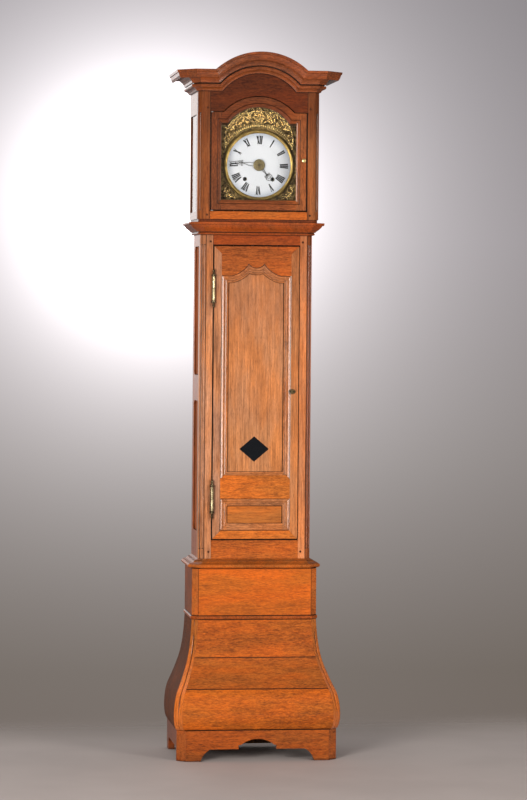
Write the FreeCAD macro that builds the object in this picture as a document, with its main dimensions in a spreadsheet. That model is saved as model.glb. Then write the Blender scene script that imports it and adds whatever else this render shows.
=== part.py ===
import FreeCAD, Part
import math
import os
import Sketcher

# Tall case clock: hood with arched crest, trunk with long door, flared base.
# Front faces -Y, the back lies on the wall plane, Z is up and the feet stand at Z = 0.

os.makedirs("parts", exist_ok=True)
doc = FreeCAD.newDocument("TallCaseClock")
sheet = doc.addObject("Spreadsheet::Sheet", "Sizes")
sheet_rows = []
pieces = []

Vector = FreeCAD.Vector
FULL_TURN = 360.0
UP = Vector(0, 0, 1)
TO_FRONT = Vector(0, -1, 0)
TO_RIGHT = Vector(1, 0, 0)
ORIGIN_PLANES = {"XY": "XY_Plane", "XZ": "XZ_Plane", "YZ": "YZ_Plane"}


# Sizes and the formulas made of them

class Size:
    """A length that knows its value and the formula that gives it from the sheet."""

    def __init__(self, value, formula):
        self.value = float(value)
        self.formula = formula

    def joined(self, other, sign, value):
        return Size(value, "(%s %s %s)" % (self.formula, sign, other.formula))

    def __add__(self, other):
        other = as_size(other)
        return self.joined(other, "+", self.value + other.value)

    def __sub__(self, other):
        other = as_size(other)
        return self.joined(other, "-", self.value - other.value)

    def __mul__(self, other):
        other = as_size(other)
        return self.joined(other, "*", self.value * other.value)

    def __truediv__(self, other):
        other = as_size(other)
        return self.joined(other, "/", self.value / other.value)

    def __radd__(self, other):
        return as_size(other) + self

    def __rsub__(self, other):
        return as_size(other) - self

    def __rmul__(self, other):
        return as_size(other) * self

    def __neg__(self):
        return as_size(0) - self

    def __float__(self):
        return self.value


def as_size(number):
    if isinstance(number, Size):
        return number
    return Size(number, repr(float(number)))


def size(name, value):
    """Writes one driving dimension into the sheet."""
    sheet_rows.append(name)
    row = len(sheet_rows)
    sheet.set("A%d" % row, name)
    sheet.set("B%d" % row, str(value))
    sheet.setAlias("B%d" % row, name)
    return Size(value, "Sizes." + name)


def bind(item, prop, value):
    value = as_size(value)
    if "Sizes." in value.formula:
        item.setExpression(prop, value.formula)
    else:
        item.setExpression(prop, None)
        base, _, axis = prop.rpartition(".")
        if base == "Placement.Base":
            place = item.Placement
            setattr(place.Base, axis, value.value)
            item.Placement = place
        elif base == "AttachmentOffset.Base":
            place = item.AttachmentOffset
            setattr(place.Base, axis, value.value)
            item.AttachmentOffset = place
        else:
            setattr(item, prop, value.value)


# Makers of simple pieces

def box(label, x, y, z):
    """A board between two limits on each axis."""
    piece = doc.addObject("Part::Box", label)
    for prop, limits in (("Length", x), ("Width", y), ("Height", z)):
        bind(piece, prop, limits[1] - limits[0])
    for axis, limits in zip("xyz", (x, y, z)):
        bind(piece, "Placement.Base." + axis, limits[0])
    return piece


def rod(label, start, direction, radius, length):
    """A round bar from a start point along a direction."""
    piece = doc.addObject("Part::Cylinder", label)
    piece.Placement = FreeCAD.Placement(Vector(0, 0, 0), FreeCAD.Rotation(UP, direction))
    bind(piece, "Radius", radius)
    bind(piece, "Height", length)
    for axis, value in zip("xyz", start):
        bind(piece, "Placement.Base." + axis, value)
    return piece


def hold_point(sketch, geometry, point, u, v):
    """Ties one sketch point to the sheet."""
    for kind, axis, value in (("DistanceX", -2, as_size(u)), ("DistanceY", -1, as_size(v))):
        if value.value == 0:
            sketch.addConstraint(Sketcher.Constraint("PointOnObject", geometry, point, axis))
            continue
        number = sketch.addConstraint(
            Sketcher.Constraint(kind, -1, 1, geometry, point, value.value))
        if "Sizes." in value.formula:
            sketch.setExpression("Constraints[%d]" % number, value.formula)


def hold_radius(sketch, geometry, radius):
    radius = as_size(radius)
    number = sketch.addConstraint(Sketcher.Constraint("Radius", geometry, radius.value))
    if "Sizes." in radius.formula:
        sketch.setExpression("Constraints[%d]" % number, radius.formula)


def arc_middle(first, last, rise):
    """The middle of an arc that rises by a given height to the left of its chord."""
    chord = last - first
    left = Vector(-chord.y, chord.x, 0).normalize()
    return (first + last) * 0.5 + left * float(rise)


def draw_outline(sketch, outline, closed=True):
    """Draws a chain of lines and arcs; a third number in a point is its arc's rise."""
    count = len(outline)
    corners = [Vector(float(point[0]), float(point[1]), 0) for point in outline]
    ends = []
    spans = count if closed else count - 1
    for index in range(spans):
        point = outline[index]
        first = corners[index]
        last = corners[(index + 1) % count]
        if len(point) == 3:
            middle = arc_middle(first, last, point[2])
            geometry = sketch.addGeometry(Part.Arc(first, middle, last), False)
            swapped = (sketch.getPoint(geometry, 1) - first).Length > (
                sketch.getPoint(geometry, 2) - first).Length
            start, stop = (2, 1) if swapped else (1, 2)
            follower = outline[(index + 1) % count]
            run = as_size(follower[0]) - point[0]
            climb = as_size(follower[1]) - point[1]
            rise = as_size(point[2])
            if rise.value < 0:
                rise = -rise
            hold_radius(sketch, geometry, (run * run + climb * climb + 4 * rise * rise) / (8 * rise))
        else:
            geometry = sketch.addGeometry(Part.LineSegment(first, last), False)
            start, stop = 1, 2
        ends.append((geometry, start, stop))
    for index in range(spans):
        hold_point(sketch, ends[index][0], ends[index][1], *outline[index][:2])
        if index + 1 < spans or closed:
            after = ends[(index + 1) % spans]
            sketch.addConstraint(Sketcher.Constraint(
                "Coincident", ends[index][0], ends[index][2], after[0], after[1]))
    if not closed:
        hold_point(sketch, ends[-1][0], ends[-1][2], *outline[-1][:2])


def draw_circle(sketch, u, v, radius):
    centre = Vector(float(u), float(v), 0)
    geometry = sketch.addGeometry(Part.Circle(centre, UP, float(radius)), False)
    hold_point(sketch, geometry, 3, u, v)
    hold_radius(sketch, geometry, radius)


def plane_of(body, plane):
    for feature in body.Origin.OriginFeatures:
        if feature.Role == ORIGIN_PLANES[plane]:
            return feature
    raise ValueError("no plane " + plane)


def plate(label, plane, offset, thickness, outline, openings=(), circles=()):
    """A flat piece padded from a sketch. XZ pieces grow from their back face to the front."""
    body = doc.addObject("PartDesign::Body", label)
    sketch = body.newObject("Sketcher::SketchObject", label + "_outline")
    sketch.AttachmentSupport = [(plane_of(body, plane), "")]
    sketch.MapMode = "FlatFace"
    bind(sketch, "AttachmentOffset.Base.z", offset)
    draw_outline(sketch, outline)
    for opening in openings:
        draw_outline(sketch, opening)
    for circle in circles:
        draw_circle(sketch, *circle)
    pad = body.newObject("PartDesign::Pad", label + "_pad")
    pad.Profile = sketch
    bind(pad, "Length", thickness)
    body.Tip = pad
    return body


def front_plate(label, front_y, thickness, outline, openings=(), circles=()):
    """A plate in the XZ plane whose front face lies at front_y."""
    return plate(label, "XZ", -(front_y + thickness), thickness, outline, openings, circles)


def turned(label, start, direction, profile):
    """A turned piece: its profile gives radius and distance along the axis from start."""
    body = doc.addObject("PartDesign::Body", label)
    sketch = body.newObject("Sketcher::SketchObject", label + "_profile")
    sketch.AttachmentSupport = [(plane_of(body, "XZ"), "")]
    sketch.MapMode = "FlatFace"
    draw_outline(sketch, profile)
    turn = body.newObject("PartDesign::Revolution", label + "_turn")
    turn.Profile = sketch
    turn.ReferenceAxis = (sketch, ["V_Axis"])
    turn.Angle = FULL_TURN
    body.Tip = turn
    body.Placement = FreeCAD.Placement(Vector(0, 0, 0), FreeCAD.Rotation(UP, direction))
    for axis, value in zip("xyz", start):
        bind(body, "Placement.Base." + axis, value)
    return body


def fuse(label, *shapes):
    piece = doc.addObject("Part::MultiFuse", label)
    piece.Shapes = list(shapes)
    return piece


def common(label, *shapes):
    piece = doc.addObject("Part::MultiCommon", label)
    piece.Shapes = list(shapes)
    return piece


def cut(label, base, *tools):
    tool = tools[0]
    if len(tools) > 1:
        tool = doc.addObject("Part::Compound", label + "_tools")
        tool.Links = list(tools)
    piece = doc.addObject("Part::Cut", label)
    piece.Base = base
    piece.Tool = tool
    return piece


def mirrored(label, source):
    piece = doc.addObject("Part::Mirroring", label)
    piece.Source = source
    piece.Base = Vector(0, 0, 0)
    piece.Normal = TO_RIGHT
    return piece


def group(label, *members):
    piece = doc.addObject("Part::Compound", label)
    piece.Links = list(members)
    return piece


def pair(label, left):
    """A left piece and its mirror image, as two solids."""
    return group(label, left, mirrored(label + "_right", left))


def feature(label, shape):
    piece = doc.addObject("Part::Feature", label)
    piece.Shape = shape
    piece.Placement = FreeCAD.Placement()
    return piece


def node(name, piece):
    """Names a finished sub-part; the name is its file's name."""
    piece.Label = name
    pieces.append((name, piece))
    return piece


def scaled(shares, across, up):
    """An outline given as shares of two sizes."""
    return [(across * share[0], up * share[1]) for share in shares]


# Driving dimensions: the stack of the case from the floor to the crest

plinth_height = size("plinth_height", 107.0)
bulge_height = size("bulge_height", 371.0)
bead_height = size("bead_height", 13.5)
box_height = size("box_height", 164.0)
base_moulding_height = size("base_moulding_height", 32.5)
trunk_height = size("trunk_height", 1130.0)
waist_moulding_height = size("waist_moulding_height", 43.5)
hood_foot_height = size("hood_foot_height", 9.9)
hood_height = size("hood_height", 515.6)
crest_rise = size("crest_rise", 63.0)

level_bulge = plinth_height
level_bead = level_bulge + bulge_height
level_box = level_bead + bead_height
level_base_moulding = level_box + box_height
level_trunk = level_base_moulding + base_moulding_height
level_waist = level_trunk + trunk_height
level_foot = level_waist + waist_moulding_height
level_hood = level_foot + hood_foot_height
level_cornice = level_hood + hood_height
level_crest = level_cornice + crest_rise

# Widths, depths and the 45 degree cants of the front corners

trunk_width = size("trunk_width", 394.0)
trunk_depth = size("trunk_depth", 222.0)
trunk_cant = size("trunk_cant", 19.0)
box_overhang = size("box_overhang", 22.0)
box_width = trunk_width + 2 * box_overhang
box_depth = trunk_depth + box_overhang
box_cant = size("box_cant", 20.0)
bulge_side_flare = size("bulge_side_flare", 71.0)
bulge_front_flare = size("bulge_front_flare", 116.0)
bulge_width = box_width + 2 * bulge_side_flare
bulge_depth = box_depth + bulge_front_flare
bulge_cant = size("bulge_cant", 27.0)
plinth_side_inset = size("plinth_side_inset", 11.5)
plinth_front_inset = size("plinth_front_inset", 12.0)
plinth_width = bulge_width - 2 * plinth_side_inset
plinth_depth = bulge_depth - plinth_front_inset
plinth_cant = size("plinth_cant", 30.0)
hood_overhang = size("hood_overhang", 16.0)
hood_front_overhang = size("hood_front_overhang", 34.0)
hood_width = trunk_width + 2 * hood_overhang
hood_depth = trunk_depth + hood_front_overhang
hood_cant = size("hood_cant", 15.0)

wall_y = bulge_depth / 2
plinth_front = wall_y - plinth_depth
box_front_y = wall_y - box_depth
trunk_front = wall_y - trunk_depth
hood_front = wall_y - hood_depth

# Boards, clearances and small features that many pieces share

plinth_board = size("plinth_board", 22.0)
case_board = size("case_board", 18.0)
hood_board = size("hood_board", 20.0)
front_board = size("front_board", 22.0)
back_board = size("back_board", 12.0)
joint_gap = size("joint_gap", 0.1)
running_gap = size("running_gap", 0.05)
cutter_overrun = size("cutter_overrun", 2.0)
peg_radius = size("peg_radius", 3.5)
peg_length = size("peg_length", 14.0)
peg_proud = size("peg_proud", 0.6)
back_foot_gap = size("back_foot_gap", 12.0)

back_y = wall_y - back_board


def mitre_path(width, depth, cant):
    """The plan of a case section, from the wall round the canted front to the wall."""
    half = width / 2
    front = wall_y - depth
    return [(-half, wall_y), (-half, front + cant), (cant - half, front),
            (half - cant, front), (half, front + cant), (half, wall_y)]


def moulding(label, width, depth, cant, bottom, profile):
    """A mitred moulding round a case section; its profile gives outward reach and height."""
    path = doc.addObject("Sketcher::SketchObject", label + "_path")
    bind(path, "Placement.Base.z", bottom)
    draw_outline(path, mitre_path(width, depth, cant), closed=False)
    section = doc.addObject("Sketcher::SketchObject", label + "_section")
    section.Placement = FreeCAD.Placement(Vector(0, 0, 0), FreeCAD.Rotation(TO_RIGHT, 90))
    bind(section, "Placement.Base.y", wall_y)
    draw_outline(section, [(-(width / 2) - out, bottom + up) for out, up in profile])
    sweep = doc.addObject("Part::Sweep", label)
    sweep.Sections = [section]
    sweep.Spine = (path, ["Edge%d" % (number + 1) for number in range(5)])
    sweep.Solid = True
    sweep.Frenet = False
    sweep.Transition = "Right corner"
    return sweep


def peg_hole(label, x, front_y, z):
    """The bore of one oak peg, cut from the front face inwards."""
    return rod(label, (x, front_y + peg_length - peg_proud, z), TO_FRONT,
               peg_radius, peg_length + cutter_overrun)


def peg(label, x, front_y, z):
    return rod(label, (x, front_y + peg_length - peg_proud, z), TO_FRONT,
               peg_radius - running_gap, peg_length)


# Plinth: front apron and two sides, each side with its canted corner block

foot_width = size("foot_width", 51.0)
foot_curve_width = size("foot_curve_width", 33.0)
foot_curve_rise = size("foot_curve_rise", 6.0)
apron_clearance = size("apron_clearance", 41.5)
apron_step_width = size("apron_step_width", 66.0)
apron_step_height = size("apron_step_height", 14.0)
apron_arch_width = size("apron_arch_width", 58.0)
apron_arch_rise = size("apron_arch_rise", 21.0)
side_foot_front = size("side_foot_front", 12.0)
side_foot_back = size("side_foot_back", 50.0)
side_arch_height = size("side_arch_height", 46.0)
side_arch_radius = size("side_arch_radius", 16.0)

plinth_half = plinth_width / 2
apron_half = plinth_half - plinth_cant
foot_edge = apron_half - foot_width
arch_foot = foot_edge - foot_curve_width
arch_top = apron_clearance + apron_step_height
apron = front_plate("apron", plinth_front, plinth_board, [
    (-apron_half, 0), (-foot_edge, 0, foot_curve_rise), (-arch_foot, apron_clearance),
    (-apron_step_width, apron_clearance), (-apron_step_width, arch_top),
    (-apron_arch_width, arch_top, apron_arch_rise), (apron_arch_width, arch_top),
    (apron_step_width, arch_top), (apron_step_width, apron_clearance),
    (arch_foot, apron_clearance, foot_curve_rise), (foot_edge, 0), (apron_half, 0),
    (apron_half, plinth_height), (-apron_half, plinth_height)])
node("plinth_apron", apron)


def corner_side(label, width, depth, cant, board, bottom, height):
    """The left side board of a case section with its canted corner block."""
    half = width / 2
    front = wall_y - depth
    block = cant - half
    return plate(label, "XY", bottom, height, [
        (-half, wall_y), (-half, front + cant), (block - joint_gap, front),
        (block - joint_gap, front + board), (board - half, front + board + cant / 2),
        (board - half, wall_y)])


plinth_side_y = plinth_front + plinth_cant + side_foot_front
back_foot_y = wall_y - side_foot_back
plinth_side = corner_side("plinth_side_block", plinth_width, plinth_depth, plinth_cant,
                          plinth_board, as_size(0), plinth_height)
side_arch = plate("plinth_side_arch", "YZ", -plinth_half - cutter_overrun,
                  plinth_board + 2 * cutter_overrun, [
                      (plinth_side_y, -cutter_overrun), (back_foot_y, -cutter_overrun),
                      (back_foot_y, side_arch_height - side_arch_radius),
                      (back_foot_y - side_arch_radius, side_arch_height),
                      (plinth_side_y + side_arch_radius, side_arch_height),
                      (plinth_side_y, side_arch_height - side_arch_radius)])
node("plinth_sides", pair("plinth_sides_pair", cut("plinth_side_left", plinth_side, side_arch)))

# Bulged section: its width and depth grow downwards along one curve of shares

bulge_steps = 18
bulge_curve_shares = [
    (0.0, 0.0), (0.10, 0.03), (0.20, 0.08), (0.35, 0.215), (0.485, 0.45), (0.60, 0.70),
    (0.70, 0.905), (0.80, 0.985), (0.88, 1.0), (0.95, 0.965), (1.0, 0.845)]
groove_start_share = 0.085
groove_end_share = 0.86
groove_fade_share = 0.10
groove_width_share = 0.24
groove_least_share = 0.06
bulge_groove_depth = size("bulge_groove_depth", 5.5)
upper_joint_share = 0.349
lower_joint_share = 0.624
bulge_board = size("bulge_board", 18.0)

bulge_curve = Part.BSplineCurve()
bulge_curve.interpolate([Vector(down, flare, 0) for down, flare in bulge_curve_shares])
bulge_peak_share = max(point.y for point in bulge_curve.discretize(Number=400))


def bulge_flare(down):
    """The flare, from 0 to 1, at a share of the way down the bulge."""
    line = Part.Line(Vector(down, 0, 0), Vector(down, 1, 0))
    crossing = bulge_curve.intersect(line)[0]
    return crossing.Y / bulge_peak_share


def bulge_section(down):
    """Half width, front Y and cant at a share of the way down the bulge, and the level."""
    flare = bulge_flare(down)
    half = float(box_width + (bulge_width - box_width) * flare) / 2
    front = float(box_front_y - (bulge_depth - box_depth) * flare)
    cant = float(box_cant + (bulge_cant - box_cant) * flare)
    level = float(level_bead - bulge_height * down)
    return half, front, cant, level


def bulge_loft(corners, first_share=0.0, last_share=1.0):
    """A smooth loft through the same outline, worked out at each level of the bulge."""
    steps = max(4, round(bulge_steps * (last_share - first_share)))
    wires = []
    for step in range(steps + 1):
        down = first_share + (last_share - first_share) * step / steps
        half, front, cant, level = bulge_section(down)
        points = [Vector(x, y, level) for x, y in corners(half, front, cant, down)]
        wires.append(Part.makePolygon(points + [points[0]]))
    return Part.makeLoft(wires, True, False)


def bulge_front_corners(half, front, cant, down):
    reach = half - cant - float(joint_gap)
    inside = front + float(bulge_board)
    return [(-reach, front), (reach, front), (reach, inside), (-reach, inside)]


def bulge_side_corners(half, front, cant, down):
    inside = float(bulge_board) - half
    start = front + cant + float(joint_gap)
    return [(-half, start), (-half, float(wall_y)), (inside, float(wall_y)), (inside, start)]


def bulge_corner_corners(half, front, cant, down):
    """The corner post: its canted face has a carved hollow that fades out at both ends."""
    fade = min(1.0, (down - groove_start_share) / groove_fade_share,
               (groove_end_share - down) / groove_fade_share)
    fade = max(groove_least_share, fade)
    sink = fade * float(bulge_groove_depth) / math.sqrt(2)
    near = 0.5 - fade * groove_width_share / 2
    far = 0.5 + fade * groove_width_share / 2
    board = float(bulge_board)
    face = [(cant - half - cant * share, front + cant * share) for share in (0, near, 0.5, far, 1)]
    face[2] = (face[2][0] + sink, face[2][1] + sink)
    return face + [(board - half, front + cant), (cant - half, front + board)]


bulge_limits = [0.0, upper_joint_share, lower_joint_share, 1.0]
joint_share = float(joint_gap / bulge_height)
bulge_boards = []
for number, (first, last) in enumerate(zip(bulge_limits, bulge_limits[1:])):
    shape = bulge_loft(bulge_front_corners, first + (joint_share if number else 0), last)
    bulge_boards.append(feature("bulge_board_%d" % number, shape))
node("bulge_front_boards", group("bulge_front", *bulge_boards))
node("bulge_sides", pair("bulge_side_pair", feature("bulge_side", bulge_loft(bulge_side_corners))))
node("bulge_corners", pair("bulge_corner_pair",
                           feature("bulge_corner", bulge_loft(bulge_corner_corners))))

# Bead, upper box and top moulding of the base

bead_projection = size("bead_projection", 4.0)
base_moulding_projection = size("base_moulding_projection", 35.5)
bead_shares = [(0, 0), (0.62, 0.08), (1, 0.34), (1, 0.66), (0.62, 0.92), (0, 1)]
base_moulding_shares = [
    (0, 0), (0.62, 0), (0.80, 0.03), (0.93, 0.10), (1.0, 0.20), (1.0, 0.30), (0.95, 0.40),
    (0.84, 0.455), (0.84, 0.50), (0.72, 0.52), (0.56, 0.57), (0.44, 0.65), (0.37, 0.75),
    (0.30, 0.755), (0.30, 0.83), (0.17, 0.86), (0.06, 0.93), (0, 1)]

bead_profile = scaled(bead_shares, bead_projection, bead_height)
node("base_bead", moulding("bead", box_width, box_depth, box_cant, level_bead,
                           bead_profile + [(-case_board, bead_height), (-case_board, as_size(0))]))
box_half = box_width / 2
node("box_front", box("box_front_board",
                      (box_cant - box_half, box_half - box_cant),
                      (box_front_y, box_front_y + case_board),
                      (level_box, level_base_moulding)))
node("box_sides", pair("box_sides_pair", corner_side(
    "box_side", box_width, box_depth, box_cant, case_board, level_box, box_height)))
node("base_top_moulding", moulding(
    "base_moulding", trunk_width, trunk_depth, trunk_cant, level_base_moulding,
    scaled(base_moulding_shares, base_moulding_projection, base_moulding_height)))

# Trunk: corner posts with flutes, front rails and framed sides

trunk_tenon = size("trunk_tenon", 40.0)
post_face = size("post_face", 25.0)
trunk_front_board = size("trunk_front_board", 24.0)
post_side = size("post_side", 41.0)
side_board = size("side_board", 20.0)
flute_radius = size("flute_radius", 4.6)
flute_depth = size("flute_depth", 3.6)
flute_stop = size("flute_stop", 34.0)
flute_spread = size("flute_spread", 6.27)
trunk_top_rail_height = size("trunk_top_rail_height", 36.0)
trunk_bottom_rail_height = size("trunk_bottom_rail_height", 65.0)
side_top_rail = size("side_top_rail", 40.0)
side_middle_rail = size("side_middle_rail", 90.0)
side_middle_level = size("side_middle_level", 548.0)
side_bottom_rail = size("side_bottom_rail", 92.0)
side_back_stile = size("side_back_stile", 40.0)
side_panel_sink = size("side_panel_sink", 6.0)
side_panel_board = size("side_panel_board", 8.0)
side_corner = size("side_corner", 14.0)
peg_inset = size("peg_inset", 9.0)
peg_drop = size("peg_drop", 24.0)

trunk_half = trunk_width / 2
trunk_foot = level_base_moulding - trunk_tenon
post_inner = trunk_half - trunk_cant - post_face
post_side_y = trunk_front + trunk_cant + post_side
opening_bottom = level_trunk + trunk_bottom_rail_height
opening_top = level_waist - trunk_top_rail_height
DIAGONAL = math.sqrt(0.5)


def flute(label, half, cant, front, along, bottom, top, radius, depth):
    """A long round hollow on the left canted corner, a distance along from its middle."""
    proud = (radius - depth) * DIAGONAL
    x = cant / 2 - half - proud - along * DIAGONAL
    y = front + cant / 2 - proud + along * DIAGONAL
    return rod(label, (x, y, bottom), UP, radius, top - bottom)


trunk_post = plate("trunk_post", "XY", trunk_foot, level_foot - trunk_foot, [
    (-trunk_half, trunk_front + trunk_cant), (trunk_cant - trunk_half, trunk_front),
    (-post_inner, trunk_front), (-post_inner, trunk_front + trunk_front_board),
    (side_board - trunk_half, trunk_front + trunk_front_board),
    (side_board - trunk_half, post_side_y - joint_gap),
    (-trunk_half, post_side_y - joint_gap)])
post_flutes = [flute("trunk_flute_%d" % number, trunk_half, trunk_cant, trunk_front,
                     side * flute_spread, level_trunk + flute_stop, level_waist - flute_stop,
                     flute_radius, flute_depth)
               for number, side in enumerate((-1, 1))]
trunk_peg_x = post_inner + peg_inset
trunk_peg_levels = [level_trunk + peg_drop, level_waist - peg_drop]
post_bores = [peg_hole("trunk_peg_hole_%d" % number, -trunk_peg_x, trunk_front, level)
              for number, level in enumerate(trunk_peg_levels)]

# Leaf recesses of the door hinges, cut in the post

barrel_radius = size("barrel_radius", 6.5)
hinge_proud = size("hinge_proud", 8.8)
leaf_thickness = size("leaf_thickness", 1.0)
leaf_depth = size("leaf_depth", 16.0)
hinge_pin_radius = size("hinge_pin_radius", 2.5)
hinge_pin_length = size("hinge_pin_length", 28.0)
hinge_half = size("hinge_half", 40.0)
hinge_split_gap = size("hinge_split_gap", 0.3)
finial_height = size("finial_height", 30.0)
upper_hinge_drop = size("upper_hinge_drop", 152.0)
lower_hinge_rise = size("lower_hinge_rise", 143.0)
door_gap = size("door_gap", 2.6)

hinge_y = trunk_front - hinge_proud
hinge_x = -post_inner + door_gap / 2
hinge_levels = [opening_bottom + lower_hinge_rise, opening_top - upper_hinge_drop]


def leaf(label, edge_x, thickness, deeper, low, high, spare):
    """A hinge leaf, or its recess when given some spare, against an upright edge."""
    x = sorted((edge_x, edge_x + thickness), key=float)
    return box(label, (x[0], x[1]), (hinge_y, trunk_front + leaf_depth + deeper),
               (low - spare, high + spare))


case_leaf_cuts = [leaf("case_leaf_cut_%d" % number, -post_inner, -leaf_thickness, joint_gap,
                       level - hinge_half, level, joint_gap)
                  for number, level in enumerate(hinge_levels)]
left_post = cut("left_post", trunk_post, *(post_flutes + post_bores + case_leaf_cuts))
right_post_base = cut("right_post_base", trunk_post, *(post_flutes + post_bores))
node("trunk_posts", group("trunk_posts_pair", left_post,
                          mirrored("right_post", right_post_base)))

rail_reach = post_inner - joint_gap
trunk_rails = [
    box("trunk_top_rail", (-rail_reach, rail_reach), (trunk_front, trunk_front + trunk_front_board),
        (opening_top, level_foot)),
    box("trunk_bottom_rail", (-rail_reach, rail_reach),
        (trunk_front, trunk_front + trunk_front_board), (trunk_foot, opening_bottom))]
node("trunk_rails", group("trunk_rails_group", *trunk_rails))

panel_back_y = wall_y - side_back_stile
side_levels = [level_trunk + side_bottom_rail, level_trunk + side_middle_level,
               level_trunk + side_middle_level + side_middle_rail, level_waist - side_top_rail]
side_stile = plate("side_stile", "YZ", -trunk_half, side_board, [
    (panel_back_y, trunk_foot), (wall_y, trunk_foot), (wall_y, level_foot),
    (panel_back_y, level_foot)])
rail_end_y = panel_back_y - joint_gap


def side_rail(label, low, high, panel_below, panel_above):
    """A rail of a side frame; its end spreads by the cut corner of the panel next to it."""
    ends = [(rail_end_y, low)]
    if panel_below:
        ends = [(rail_end_y - side_corner, low), (rail_end_y, low - side_corner)]
    if panel_above:
        ends += [(rail_end_y, high + side_corner), (rail_end_y - side_corner, high)]
    else:
        ends += [(rail_end_y, high)]
    return plate(label, "YZ", -trunk_half, side_board,
                 [(post_side_y, low)] + ends + [(post_side_y, high)])


side_rails = [
    side_rail("side_low_rail", trunk_foot, side_levels[0], False, True),
    side_rail("side_middle_rail_piece", side_levels[1], side_levels[2], True, True),
    side_rail("side_high_rail", side_levels[3], level_foot, True, False)]
side_panels = []
for number, (low, high) in enumerate(((side_levels[0], side_levels[1]),
                                      (side_levels[2], side_levels[3]))):
    side_panels.append(plate(
        "side_panel_%d" % number, "YZ", side_panel_sink - trunk_half, side_panel_board, [
            (post_side_y, low + joint_gap), (rail_end_y - side_corner, low + joint_gap),
            (rail_end_y, low + side_corner + joint_gap),
            (rail_end_y, high - side_corner - joint_gap),
            (rail_end_y - side_corner, high - joint_gap), (post_side_y, high - joint_gap)]))
side_members = [side_stile] + side_rails + side_panels
side_mirrors = [mirrored("right_side_%d" % number, member)
                for number, member in enumerate(side_members)]
node("trunk_sides", group("trunk_sides_group", *(side_members + side_mirrors)))

waist_projection = size("waist_projection", 41.5)
waist_shares = [
    (0, 0), (0.10, 0), (0.19, 0.03), (0.235, 0.09), (0.215, 0.15), (0.17, 0.175), (0.17, 0.22),
    (0.27, 0.235), (0.33, 0.30), (0.42, 0.375), (0.55, 0.46), (0.68, 0.57), (0.78, 0.68),
    (0.84, 0.78), (0.94, 0.785), (0.98, 0.82), (1, 0.87), (1, 1), (0, 1)]
node("waist_moulding", moulding(
    "waist", trunk_width, trunk_depth, trunk_cant, level_waist,
    scaled(waist_shares, waist_projection, waist_moulding_height)))

# Trunk door: stiles, rails, planted mouldings, panels and the lozenge glass

door_board = size("door_board", 24.0)
door_stile_face = size("door_stile_face", 27.5)
door_moulding_width = size("door_moulding_width", 25.0)
panel_sink = size("panel_sink", 8.0)
panel_board = size("panel_board", 8.0)
panel_cover = size("panel_cover", 6.0)
door_bottom_rail = size("door_bottom_rail", 30.0)
lower_field_height = size("lower_field_height", 112.0)
door_middle_rail = size("door_middle_rail", 68.0)
rail_lap = size("rail_lap", 13.0)
scallop_side_drop = size("scallop_side_drop", 103.5)
scallop_cusp_drop = size("scallop_cusp_drop", 61.0)
scallop_cusp_width = size("scallop_cusp_width", 27.5)
scallop_shoulder_width = size("scallop_shoulder_width", 86.0)
scallop_sink_rise = size("scallop_sink_rise", 6.9)
scallop_lobe_rise = size("scallop_lobe_rise", 14.5)
lozenge_half_width = size("lozenge_half_width", 52.0)
lozenge_half_height = size("lozenge_half_height", 44.5)
lozenge_rise = size("lozenge_rise", 314.5)
lozenge_shift = size("lozenge_shift", 3.0)
lozenge_glass = size("lozenge_glass", 3.0)
lozenge_sink = size("lozenge_sink", 2.0)

door_half = post_inner - door_gap
door_low = opening_bottom + door_gap
door_high = opening_top - door_gap
field_half = door_half - door_stile_face
core_half = field_half - door_moulding_width + panel_cover
core_front = trunk_front + panel_sink
door_back = trunk_front + door_board
lower_field_low = door_low + door_bottom_rail
lower_field_high = lower_field_low + lower_field_height
upper_field_low = lower_field_high + door_middle_rail
cusp_level = door_high - scallop_cusp_drop
panel_edge = door_moulding_width - panel_cover
panel_top = cusp_level + panel_cover

door_stile = plate("door_stile", "XY", door_low, door_high - door_low, [
    (-door_half, trunk_front), (-field_half, trunk_front), (-field_half, core_front),
    (-core_half, core_front), (-core_half, door_back), (-door_half, door_back)])
mitre_low = door_low + door_stile_face
mitre_high = door_high - door_stile_face
stile_mitres = [
    front_plate("stile_mitre_%d" % number, trunk_front - cutter_overrun,
                panel_sink + cutter_overrun,
                [(-door_half, end), (-field_half, end), (-field_half, inner)])
    for number, (end, inner) in enumerate(((door_low, mitre_low), (door_high, mitre_high)))]
door_leaf_cuts = [leaf("door_leaf_cut_%d" % number, -door_half, leaf_thickness, joint_gap,
                       level, level + hinge_half, joint_gap)
                  for number, level in enumerate(hinge_levels)]

key_level_rise = size("key_level_rise", 516.0)
key_inset = size("key_inset", 22.5)
key_shaft_radius = size("key_shaft_radius", 2.6)
key_bow_length = size("key_bow_length", 25.0)
key_bow_height = size("key_bow_height", 15.0)
key_bow_board = size("key_bow_board", 3.5)
bow_eye_radius = size("bow_eye_radius", 2.6)
key_neck_radius = size("key_neck_radius", 5.0)
key_neck_length = size("key_neck_length", 2.0)
tongue_length = size("tongue_length", 34.0)
tongue_width = size("tongue_width", 10.0)
tongue_board = size("tongue_board", 2.5)

key_x = door_half - key_inset
key_level = door_low + key_level_rise
key_bore = rod("key_bore", (key_x, door_back + cutter_overrun, key_level), TO_FRONT,
               key_shaft_radius + running_gap, door_board + 2 * cutter_overrun)
mitred_stile = cut("mitred_stile", door_stile, *stile_mitres)
left_stile = cut("left_stile", mitred_stile, *door_leaf_cuts)
right_stile = cut("right_stile", mirrored("door_stile_mirror", mitred_stile), key_bore)
node("door_stiles", group("door_stiles_pair", left_stile, right_stile))


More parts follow.
